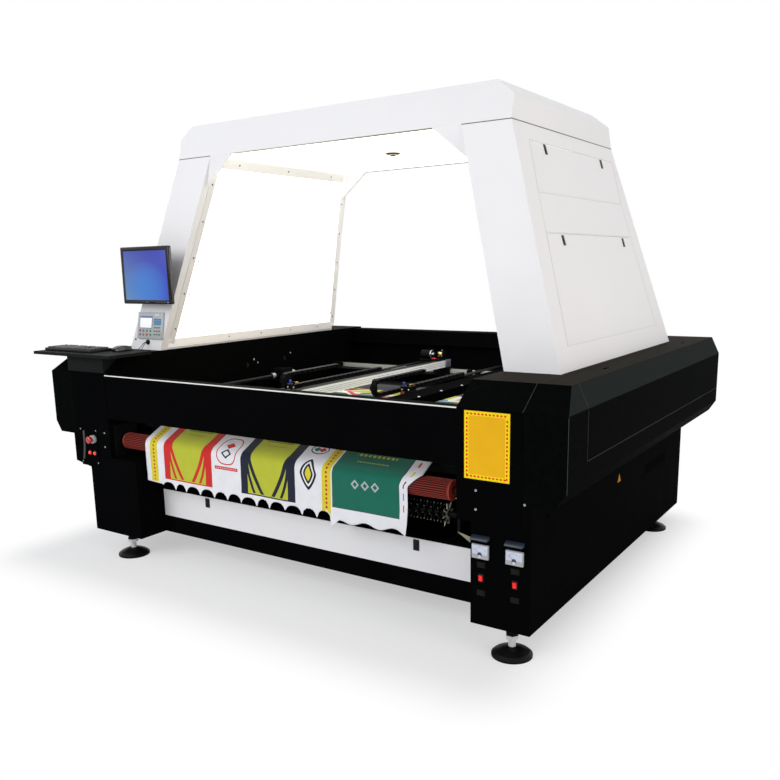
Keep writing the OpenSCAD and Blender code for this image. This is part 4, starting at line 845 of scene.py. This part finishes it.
# Plates: a yellow enamelled plate with a brighter band and a red dashed line round its edge, and
# a plain yellow-orange triangle on the right pedestal's side.
plate_low, plate_high = corners("warning_plate")
left, right, foot, head = plate_low.x, plate_high.x, plate_low.z, plate_high.z
yellow = finish_of("yellow_enamel", (0.84, 0.45, 0.004), 0.5, specular=0.15)
paint(yellow, "warning_plate")
red_print = finish_of("red_print", (0.78, 0.014, 0.008), 0.5, specular=0.15)
pale_print = finish_of("bright_yellow_print", (0.93, 0.72, 0.003), 0.5, specular=0.15)
dash, line, band, margin = 9, 7, 19, 8
dash_pitch = dash * 1.75
for name, low, high in (("left", (left + 1, foot + 1), (left + band, head - 1)),
                        ("right", (right - band, foot + 1), (right - 1, head - 1)),
                        ("lower", (left + band, foot + 1), (right - band, foot + band)),
                        ("upper", (left + band, head - band), (right - band, head - 1))):
    block(f"plate_{name}_band", (low[0], -3.6, low[1]), (high[0], -3.3, high[1]), 0.1, pale_print,
          "machine", "yellow_plate", 1)
dashes = []
for edge_x in (left + margin, right - margin - line):
    for i in range(int((head - foot - 2 * margin) / dash_pitch)):
        z = foot + 10 + i * dash_pitch
        dashes.append(((edge_x, z), (edge_x + line, z + dash)))
for edge_z in (foot + margin, head - margin - line):
    for i in range(int((right - left - 2 * margin) / dash_pitch)):
        x = left + 10 + i * dash_pitch
        dashes.append(((x, edge_z), (x + dash, edge_z + line)))
joined("plate_border", [block("dash", (low[0], -3.85, low[1]), (high[0], -3.4, high[1]), 0.12,
                              red_print, "machine", "yellow_plate", 1) for low, high in dashes])
triangle_orange = finish_of("orange_print", (0.4, 0.15, 0.003), 0.5, specular=0.1)
turned("yellow_triangle", ((27, 0), (27, 0.7), (25, 1)), (1370, 1005, 520), (1, 0, 0), triangle_orange,
       "machine", "yellow_plate", 3)

# Casings: the upper casings and their lids are folded sheet with a coarse grained coat. It looks
# black from the side, and on the slopes and on the deck its colour is painted lighter, as painted sheen.


def ramp(value, low, high):
    """A share that runs from 0 to 1 while a socket's value goes from low to high."""
    return make(value.id_data, "MapRange", {"Value": value, "From Min": low, "From Max": high})


def by_part(kind, whole, axis, low, high):
    """A share that goes by one part of a place or of a face's normal."""
    return lambda tree: ramp(
        make(tree, "SeparateXYZ", {0: make(tree, kind, take=whole)}, take=axis), low, high)


def sloping_sideways(tree):
    """A share that is 1 on faces that lean up to the left or the right."""
    maths = maths_in(tree)
    parts = make(tree, "SeparateXYZ", {0: make(tree, "NewGeometry", take="Normal")}).node.outputs
    return ramp(maths("MULTIPLY", maths("ABSOLUTE", parts["X"]), parts["Z"]), 0.25, 0.3)


def laid_over(made, share, colour):
    """Lays another colour over a finish by a share of its surface."""
    skin = made.node_tree.nodes["Principled BSDF"]
    before = skin.inputs["Base Color"].links[0].from_socket
    set_skin(made, Base_Color=mixed(share(made.node_tree), before, colour))
    return made


grained_coat = finish_of("grained_coat", (0.0024, 0.0027, 0.0026), 0.42, shade=0.4, patch=40, grain=1.0,
                         grain_size=170, depth=0.004, specular=0.0012)
# Painted sheen: a lighter colour on faces that slope sideways and on level faces on top
laid_over(grained_coat, sloping_sideways, (0.017, 0.021, 0.0195))
laid_over(grained_coat, by_part("NewGeometry", "Normal", "Z", 0.9, 0.95), (0.026, 0.0225, 0.018))
paint(grained_coat, "left_upper_body", "right_upper_body", "left_side_cover", "right_side_cover")

# Latches: black moulded snap latches, each with a thumb pad, hold the tower doors and the front
# panel shut.
latch_black = finish_of("latch_black", (0.004, 0.004, 0.0045), 0.35, specular=0.2)
wall_foot_z, wall_rise = 1085, 1035
outer_foot, outer_lean, inner_foot, inner_lean = 1312, 314, 1060, 300


def on_wall(z, foot=outer_foot, lean=outer_lean):
    """How far a tower's wall stands from the middle at a height: the outer one, unless told."""
    return foot - lean * (z - wall_foot_z) / wall_rise


for side_name, side in (("left", -1), ("right", 1)):
    for door, spots in (("upper", ((855, 2019), (1576, 2019))), ("lower", ((794, 1622), (1608, 1622)))):
        latch = (latch_black, f"{side_name}_{door}_door", "black_plastic")
        for i, (y, z) in enumerate(spots):
            tip = about(at(side * on_wall(z), y, z), -side * math.atan2(outer_lean, wall_rise), "Y")
            low_x, high_x = sorted((side * (on_wall(z) - 1), side * (on_wall(z) + 2.6)))
            thumb_x = high_x + 1.2 if side > 0 else high_x
            snap = block(f"{side_name}_{door}_latch_{i + 1}", (low_x, y - 12, z - 23),
                         (high_x, y + 12, z + 23), 1, *latch)
            thumb = block("thumb", (low_x, y - 7, z - 12), (thumb_x, y + 7, z + 4), 0.8, *latch)
            snap.data.transform(tip)
            thumb.data.transform(tip)
            joined(snap.name, [snap, thumb])
panel_front, panel_top = corners("front_panel")[0].y, corners("front_panel")[1].z
for i, x in enumerate((-535, 744)):
    latch = (latch_black, "front_panel", "black_plastic")
    block(f"panel_latch_{i + 1}", (x - 1, panel_front - 2.4, panel_top - 55),
          (x + 29, panel_front + 1, panel_top - 5), 1.2, *latch)
    block(f"panel_latch_thumb_{i + 1}", (x + 5, panel_front - 3.6, panel_top - 34),
          (x + 23, panel_front - 1, panel_top - 12), 1, *latch)

# Feet: pads of black rubber under turned steel studs, which are bright near the pads and blackened
# above.


def above(height):
    """A share that is 1 over a height."""
    return by_part("TexCoord", "Object", "Z", (height - 0.2) / 1000, (height + 0.2) / 1000)


def two_tone(name, share, first, second, rough, metal=0.0):
    """A finish that goes from one colour to another by a share of its surface."""
    made = finish_of(name, first, rough, metal=metal, shade=0.1, grain=0.25, grain_size=700, specular=0.04)
    return laid_over(made, share, second)


paint(finish_of("foot_rubber", (0.004, 0.004, 0.0045), 0.35, grain=0.3, grain_size=500, specular=0.12),
      "foot_pads")
paint(two_tone("stud_finish", above(88), (0.6, 0.61, 0.62), (0.006, 0.006, 0.0065), 0.3), "foot_studs")

# Feed roller and spiked shaft: a ribbed rubber sleeve with bright end discs pulls the cloth off
# the bed, and a shaft set with pale star wheels under it strips the cut pieces.


def from_axis(y, z, low, high):
    """A share that grows with the distance from an axis along X."""
    def share(tree):
        place = make(tree, "TexCoord", take="Object")
        off = make(tree, "VectorMath", {0: place, 1: at(0, y, z)}, operation="SUBTRACT")
        flat = make(tree, "VectorMath", {0: off, 1: (0, 1, 1)}, operation="MULTIPLY")
        far = make(tree, "VectorMath", {0: flat}, take="Value", operation="LENGTH")
        return ramp(far, low / 1000, high / 1000)
    return share


# Painted shade: the grooves between the ribs, nearer the axis, are much darker than the ribs
paint(two_tone("ribbed_rubber", from_axis(roller.y, roller.z, 41, 43.3), (0.045, 0.01, 0.008),
               (0.26, 0.042, 0.032), 0.6), "feed_roller")
disc_red = finish_of("disc_red", (0.75, 0.1, 0.06), 0.5, grain=0.2)
for name, x, way in (("left_roller_disc", -1017.4, -1), ("right_roller_disc", 981.4, 1)):
    turned(name, ((43.6, 0), (44, 0.6), (43, 2.4), (37, 2.8), (36, 1.6), (16, 1.6)),
           (x, roller.y, roller.z), (way, 0, 0), disc_red, "feed_roller", "red_rubber", 56)
spike_z = middle("spiked_shaft").z
paint(two_tone("star_wheels", from_axis(roller.y, spike_z, 34, 41), (0.004, 0.004, 0.004),
               (0.16, 0.16, 0.115), 0.5), "spiked_shaft")
pale_nylon = finish_of("pale_nylon", (0.36, 0.38, 0.27), 0.5, grain=0.2)
star = (pale_nylon, "spiked_shaft", "steel")
hub_rim = 14
spokes = [turned("star_hub", ((15, 0), (19, 1), (19, 7), (15, 8)), (953, roller.y, spike_z), (1, 0, 0),
                 *star, 24)]
for i in range(8):
    way = (0, math.cos(math.radians(45 * i + 12)), math.sin(math.radians(45 * i + 12)))
    long = 56 if i % 4 == 1 else 47
    spokes.append(turned("spoke", ((4, 0), (2.6, long - 10 - hub_rim), (0.7, long - hub_rim)),
                         (957, roller.y + hub_rim * way[1], spike_z + hub_rim * way[2]), way, *star, 10))
joined("end_star", spokes)

# Bed: a black wire mesh belt carries the cloth over steel slats. The slats are bright along their
# upper edges.
paint(finish_of("wire_mesh", (0.01, 0.0105, 0.011), 0.5, grain=0.8, grain_size=160, depth=0.003,
                specular=0.06), "mesh_belt")
paint(two_tone("bed_bars", above(corners("bed_frame")[1].z - 1.5), (0.006, 0.006, 0.0065),
               (0.3, 0.3, 0.28), 0.4), "bed_frame")

# Gantries: a black beam with a pale anodised side and one under a black cover, with black carriages,
# chains and motors. They slide on ground steel rails that stand on black supports.
upward, rightward = (0, 0, 1), (1, 0, 0)
body_black = (0.004, 0.004, 0.0045)
paint(two_tone("rail_steel", above(824.3), body_black, (0.5, 0.5, 0.48), 0.35), "x_rails")
faces_right = by_part("NewGeometry", "Normal", "X", 0.6, 0.7)
paint(two_tone("beam_one_coat", faces_right, body_black, (0.92, 0.95, 0.97), 0.35), "gantry_1_beam")
paint(finish_of("black_cover_coat", (0.002, 0.002, 0.0022), 0.6, grain=0.25, grain_size=700, specular=0.001),
      "gantry_2_beam")
beam_low, beam_high = corners("gantry_1_beam")
beam_right, beam_rear, beam_top = beam_high
beam_foot, bracket_front = beam_low.z, beam_rear - 64
end_blue = finish_of("cast_end_grey", (0.3, 0.34, 0.42), 0.35, metal=0.5, grain=0.3)
block("beam_end_bracket", (beam_right - 4, bracket_front, beam_foot - 0.5),
      (beam_right + 7, beam_rear + 4, beam_top + 4), 2.5, end_blue, "gantry_1", "aluminium_beam", 3)
# Painted shade: the grooves are dark strips laid on the pale side, for the shade in them
joined("beam_grooves", [
    block("groove", (beam_right - 0.4, beam_low.y + 2, z), (beam_right + 0.25, bracket_front, z + 1.3), 0.2,
          grip_grey, "gantry_1", "aluminium_beam", 1)
    for z in (beam_foot + 12, beam_foot + 22, beam_foot + 32)])
beam_white = finish_of("anodised_white", (0.8, 0.81, 0.79), 0.35, shade=0.06, patch=20, grain=0.15,
                       stretch=(1, 0.05, 1))
block("beam_top_lip", (beam_right - 5, beam_low.y + 2, beam_top - 0.3),
      (beam_right + 0.3, bracket_front, beam_top + 1.2), 0.5, beam_white, "gantry_1", "aluminium_beam")
screw_white = finish_of("bright_screw", (0.75, 0.76, 0.78), 0.25, metal=0.6)
screw_x, first_screw, screw_pitch = corners("gantry_2_beam")[1].x - 7, 381, 213
joined("beam_cover_screws", [
    turned("screw", ((7, 0), (7, 2), (5, 3.2), (2, 3.4)), (screw_x, first_screw + screw_pitch * i, beam_top),
           upward, screw_white, "gantry_2", "screw_steel", 16) for i in range(8)])

# Gantry mirrors and motors: on each carriage's plate at the right stand a brass mirror on four
# adjusting screws with a knob over it, the motor's steel flange and pulley, and a red sight lamp.
sight_red = finish_of("anodised_red", (0.55, 0.03, 0.02), 0.3, metal=0.4)
bright_brass = finish_of("bright_brass", (0.75, 0.5, 0.15), 0.22, metal=1.0, grain=0.1)


def numbered(carrier, pieces):
    """Names a carrier's small pieces after it, and numbers them in their order."""
    for i, piece in enumerate(pieces):
        piece.name = f"{carrier}_{piece.name.split('.')[0]}_{i + 1}"


for number in (1, 2):
    gantry = f"gantry_{number}"
    right = corners(gantry + "_beam")[1].x
    y, plate, mirror_x = beam_rear - 50, beam_top + 8, right - 29
    brass, steel = (bright_brass, gantry, "brass_head"), (ground_steel, gantry, "steel")
    mirror = turned("mirror", ((12, 0), (15, 1), (15, 6), (11, 8)), (mirror_x, y - 24, plate + 34), to_front,
                    *brass, 24)
    adjusters = [turned("adjuster", ((2.4, 0), (2.4, 9), (4, 9), (4, 14)),
                        (mirror_x + dx, y - 16, plate + dz), to_front, *steel, 12)
                 for dx in (-11, 11) for dz in (22, 46)]
    numbered(gantry, [
        mirror, *adjusters,
        turned("knob", ((4, 0), (6, 1), (6, 8), (3, 9)), (mirror_x, y, plate + 52), upward, *brass, 16),
        turned("motor_flange", ((27, 0), (29, 1), (29, 7), (27, 8)), (right - 110, y, plate + 28),
               rightward, *steel, 32),
        turned("motor_pulley", ((7, 0), (11, 0.5), (11, 12), (9, 13)), (right - 102, y, plate + 28),
               rightward, *steel, 20),
        block("sight_lamp", (right - 92, y - 34, plate - 0.2), (right - 62, y - 22, plate + 9), 2, sight_red,
              gantry, "red_button")])

# Cutting heads: black above and brass below, each with a lens ring, an air fitting, a focus knob, a
# mirror cap, a sensor and four socket screws in its face.
fitting_blue = finish_of("fitting_blue", (0.02, 0.06, 0.5), 0.3)
for number, sensor_coat in ((1, yellow), (2, sight_red)):
    body, head_node = f"head_{number}", f"gantry_{number}_head"
    x, y = corners(head_node)[0].x, middle(head_node).y
    top = corners(head_node)[1].z - 10
    paint(two_tone(body + "_finish", above(853), (0.7, 0.48, 0.16), (0.006, 0.006, 0.007), 0.35, metal=0.4),
          head_node)
    brass = (bright_brass, body, "brass_head")
    dress = [
        turned("lens_ring", ((17, 0), (21, 1), (21, 8), (18, 9)), (x + 30, y, beam_foot - 34), upward,
               *brass, 28),
        turned("air_fitting", ((5, 0), (5, 10), (7, 10), (7, 18), (4, 20)), (x + 14, y - 12, top), upward,
               fitting_blue, body, "black_plastic", 16),
        turned("focus_knob", ((8, 0), (11, 1), (11, 9), (8, 10)), (x + 44, y + 4, top), upward, *brass, 20),
        turned("mirror_cap", ((12, 0), (15, 1), (15, 5), (12, 6)), (x + 30, y - 39.5, beam_foot), to_front,
               ground_steel, body, "steel", 28),
        block("sensor", (x + 6, y - 31, beam_foot + 8), (x + 24, y - 27.5, beam_foot + 34), 1.5, sensor_coat,
              body, "black_plastic")]
    dress += [turned("socket_screw", ((4, 0), (4, 2.4), (2.4, 3.2), (2.2, 1.4)),
                     (x + dx, y - 27.6, beam_foot + dz), to_front, screw_white, body, "screw_steel", 12)
              for dx, dz in ((10, 44), (50, 44), (10, 6), (50, 6))]
    numbered(body, dress)

# Drive shafts: dark steel shafts at the tub's walls turn the gantries' belts. Each is joined by two
# ground steel couplings.
coupling = ((18.2, 0), (20.5, 0.6), (20.5, 12), (19, 13), (19, 17), (20.5, 18), (20.5, 29.4), (18.2, 30))
for side_name, x in (("left", -985), ("right", 985)):
    paint(finish_of(side_name + "_drive_shaft_steel", (0.02, 0.021, 0.022), 0.35, metal=0.8, grain=0.2),
          side_name + "_drive_shaft")
    for i, y in enumerate((1220, 1410)):
        turned(f"{side_name}_coupling_{i + 1}", coupling, (x, y, 845), (0, 1, 0), ground_steel,
               side_name + "_drive", "steel", 32)

# Screws: bright heads in the tub's left wall, grey ones in the black covers and white ones in the
# lit walls.
for i, (y, z) in enumerate(((1140, 959), (1174, 935), (1496, 967))):
    turned(f"tub_screw_{i + 1}", ((5, 0), (5, 2), (3, 3)), (-1052, y, z), (1, 0, 0), screw_white, "machine",
           "screw_steel", 12)
screw_heads = two_tone("screw_heads", above(800), (0.36, 0.37, 0.38), (0.02, 0.02, 0.018), 0.35, metal=0.6)
paint(laid_over(screw_heads, above(1100), (0.95, 0.93, 0.88)), "cover_screws")

# Front lip: the folded top of the front beam, in the same coated sheet, with a painted highlight
# along its top edge towards the front.
# Painted highlight: the lip's top is near white along the front edge
lip_highlight_coat = two_tone("lip_painted_highlight", above(corners("front_lip")[1].z - 5), (0.004, 0.004, 0.004),
                    (0.82, 0.81, 0.77), 0.4)
set_skin(lip_highlight_coat, Specular_IOR_Level=0.001)
edge_y, edge_blur = front_y + 0.004, 0.0004
behind_edge = by_part("TexCoord", "Object", "Y", edge_y - edge_blur, edge_y + edge_blur)
paint(laid_over(lip_highlight_coat, behind_edge, (0.002, 0.0025, 0.002)), "front_lip")

# Sheet seams: the towers' doors and lit sheets sit in shallow folded frames, held by small screws,
# and a dark strip between each tower and the cap is painted shade in the gap there.
# Painted shade: the door frames' folds are beige, darker than the white sheet, for the shade in the door
# seams
seam_shade_beige = finish_of("painted_seam_shade", (0.68, 0.66, 0.61), 0.5, grain=0.1)
seam_olive = finish_of("shaded_rim", (0.26, 0.25, 0.16), 0.5, grain=0.1)
# Painted shade: a dark brown strip for the shadow in the gap between each tower and the cap
gap_shade_strip = finish_of("cap_gasket", (0.16, 0.14, 0.11), 0.6, grain=0.3)
# Painted light and shade: the lower and rear folds round the lit sheets, and the gussets, glow a little as
# painted light; the top and front folds are a darker copy of the same white, as painted shade
glow_painted_surround = finish_of("lit_surround", (0.93, 0.92, 0.9), 0.5, shade=0.02, grain=0.1)
set_skin(glow_painted_surround, Emission_Color=(1.0, 0.97, 0.92, 1), Emission_Strength=0.18)
upper_surround = finish_of("upper_surround", (0.77, 0.765, 0.75), 0.5, shade=0.02, grain=0.1)
surround_screw = finish_of("surround_screw", (0.06, 0.055, 0.045), 0.4, metal=0.4)


def fold(start, end, outward, wide, rise, finish, slot_name, name="fold"):
    """A thin raised fold of sheet between two places in millimetres, standing out one way."""
    start, end = at(*start), at(*end)
    along = (end - start).normalized()
    outward = Vector(outward).normalized()
    turn = Matrix((outward.cross(along), outward, along)).transposed().to_4x4()
    length = (end - start).length * 1000
    piece = block(name, (-wide / 2, -0.2, 0), (wide / 2, rise, length), min(wide, rise) * 0.3, finish,
                  "machine", slot_name, 1)
    piece.data.transform(Matrix.Translation(start) @ turn @ Matrix.Translation(-at(0, 0, 0)))
    return piece


def on_inner_wall(z):
    return on_wall(z, inner_foot, inner_lean)


# Ends in Y and Z of the door frames' level folds, front and rear, from the lowest up
door_foot, door_sill = ((539, 1185), (1803, 1185)), ((618, 1655), (1729, 1655))
door_waist, door_head = ((652, 1822), (1738, 1822)), ((699, 2047), (1761, 2047))
door_folds = (*zip(door_foot, door_waist), door_foot, door_sill, door_waist,
              *zip(door_waist, door_head), door_head)
# Ends of the lit walls' folded surrounds: rear and front uprights, and the heights of the level ones
rear_foot, rear_head, near_foot, near_head = (1953, 1120), (1770, 2092), (466, 1118), (629, 2070)
lit_foot_z, lit_head_z = 1122, 2089
for side_name, side in (("left", -1), ("right", 1)):
    frames = []
    # The door frames' folds carry the beige painted seam shade
    for (ya, za), (yb, zb) in door_folds:
        frames.append(fold((side * on_wall(za), ya, za), (side * on_wall(zb), yb, zb),
                           (side * wall_rise, 0, outer_lean), 2.2, 0.7, seam_shade_beige, "white_coat"))
    into_tub = (-side * wall_rise, 0, -inner_lean)
    # Lower and rear folds: painted glow; top and front folds: painted shade
    for (ya, za), (yb, zb), wide, coat in (
            ((446, lit_foot_z), (1955, lit_foot_z), 50, glow_painted_surround), (rear_foot, rear_head, 50, glow_painted_surround),
            ((632, lit_head_z), (1772, lit_head_z), 52, upper_surround),
            (near_foot, near_head, 42, upper_surround)):
        frames.append(fold((side * on_inner_wall(za), ya, za), (side * on_inner_wall(zb), yb, zb),
                           into_tub, wide, 3.2, coat, "white_coat"))
    for gusset_y in (581, 1797):
        frames.append(fold((side * 613, gusset_y, 2119), (side * 804, gusset_y, 1966),
                           (-side * 156, 0, -192), 16, 0.8, glow_painted_surround, "white_coat"))
    joined(side_name + "_tower_folds", frames)
    spots = []
    for (ya, za), (yb, zb), heights in ((rear_foot, rear_head, range(1183, 1940, 187)),
                                        (near_foot, near_head, range(1201, 1980, 194))):
        spots += [(ya + (yb - ya) * (z - za) / (zb - za), z) for z in heights]
    spots += [(y, lit_foot_z) for y in range(925, 1800, 288)]
    spots += [(y, lit_head_z) for y in range(800, 1640, 416)]
    joined(side_name + "_surround_screws", [
        turned("screw", ((5, 0), (5, 1.2), (3.5, 2)), (side * (on_inner_wall(z) - 3.2), y, z), into_tub,
               surround_screw, "machine", "screw_steel", 12) for y, z in spots])
    # The dark strips under the cap's edges are the painted gap shade
    strips = []
    for near, far, rear in ((761, 998.6, 573), (997, 999.4, 1807)):
        low_x, high_x = sorted((side * near, side * far))
        strips.append(block("strip", (low_x, 571.2, 2116.5), (high_x, rear, 2121), 0.4, gap_shade_strip,
                            "machine", "black_plastic", 1))
    joined(side_name + "_cap_gasket", strips)

# Ceiling: the lit sheet goes on down the cap's rear slope, and the rims of the cap's opening are
# folded.
fold((-985, 1789.5, 2148), (985, 1789.5, 2148), (0, -168, -81), 58, 2.4, glow, "diffuser",
     "ceiling_rear_sheet")
joined("cap_rims", [fold((-610, y, 2120.4), (610, y, 2120.4), (0, 0, -1), 30, 0.8, seam_olive, "white_coat")
                    for y in (1790, 587)])

# Edge lines: the right casing is folded and joined from black sheets, and thin pale lines along
# the edges where they meet are painted highlights.
# Painted highlight: thin pale folds along the right casing's edges
edge_highlight_paint = finish_of("worn_edge", (0.035, 0.038, 0.037), 0.5, grain=0.4, grain_size=900)
cover_right = corners("column_covers")[1].x
casing_right, slope_foot, lid_front = 1505, 990, 197
edges = (
    ((casing_right, 0, 704), (casing_right, 0, slope_foot), (1, -1, 0), 1.2, 0.4),
    ((casing_right, lid_front, 792), (casing_right, lid_front, slope_foot), (1, 0, 0), 1.2, 0.4),
    ((casing_right, 200, 791), (casing_right, 2316, 791), (1, 0, 0), 1.2, 0.4),
    ((casing_right, lid_front, slope_foot + 3), (1462, lid_front, 1085), (1, 0, 0.45), 1.6, 0.5),
    ((cover_right, 0, slope_foot + 3), (cover_right, 128, 1085), (0, -1, 1.4), 1.2, 0.4),
)
joined("right_casing_edges", [fold(*edge, edge_highlight_paint, "black_coat") for edge in edges])

# Chute flange: a small three-cornered plate of dull sheet at the right end of the cloth's way down.
# Its broad end faces the right pedestal.
flange_start, flange_end = (1046, 22, 486), (1106, 22, 462)
flange = fold(flange_start, flange_end, to_front, 24, 1.6, seam_olive, "black_coat", "chute_flange")
tip = at(*flange_start)
way = (at(*flange_end) - tip).normalized()
for v in flange.data.vertices:
    along = (v.co - tip).dot(way)
    spot = tip + way * along
    share = max(0.05, along / 0.065)
    v.co.x, v.co.z = spot.x + (v.co.x - spot.x) * share, spot.z + (v.co.z - spot.z) * share

# Rear flap: a strip of black rubber that hangs on the rear beam and closes the slot above the
# belt's return.
flap_rubber = finish_of("flap_rubber", (0.006, 0.006, 0.006), 0.8, specular=0.02, grain=0.3)
block("rear_flap", (-1046, 2142.5, 712), (1046, 2149.4, 800), 1.2, flap_rubber, "machine", "black_coat", 2)

# Camera: a round pale can with a turned black bezel and a coated lens, which hangs from the cap's
# ceiling and looks down on the bed.
paint(finish_of("camera_can", (0.9, 0.88, 0.8), 0.45, grain=0.15), "camera")
lens_x, lens_y = middle("camera")[:2]
turned("camera_bezel", ((36, 0), (39.5, 0.6), (39.5, 5), (33, 7), (23, 7)), (lens_x, lens_y, 2126),
       (0, 0, -1), latch_black, "machine", "gloss_black", 48)
lens_glass = finish_of("coated_lens", (0.02, 0.03, 0.07), 0.05, coat=1.0, specular=0.6)
turned("camera_lens", ((16, 0), (16, 3), (13, 5.2), (8, 6.6), (2, 7.2)),
       (lens_x, lens_y, corners("camera")[0].z + 0.5), (0, 0, -1), lens_glass, "machine", "gloss_black",
       40, 60)
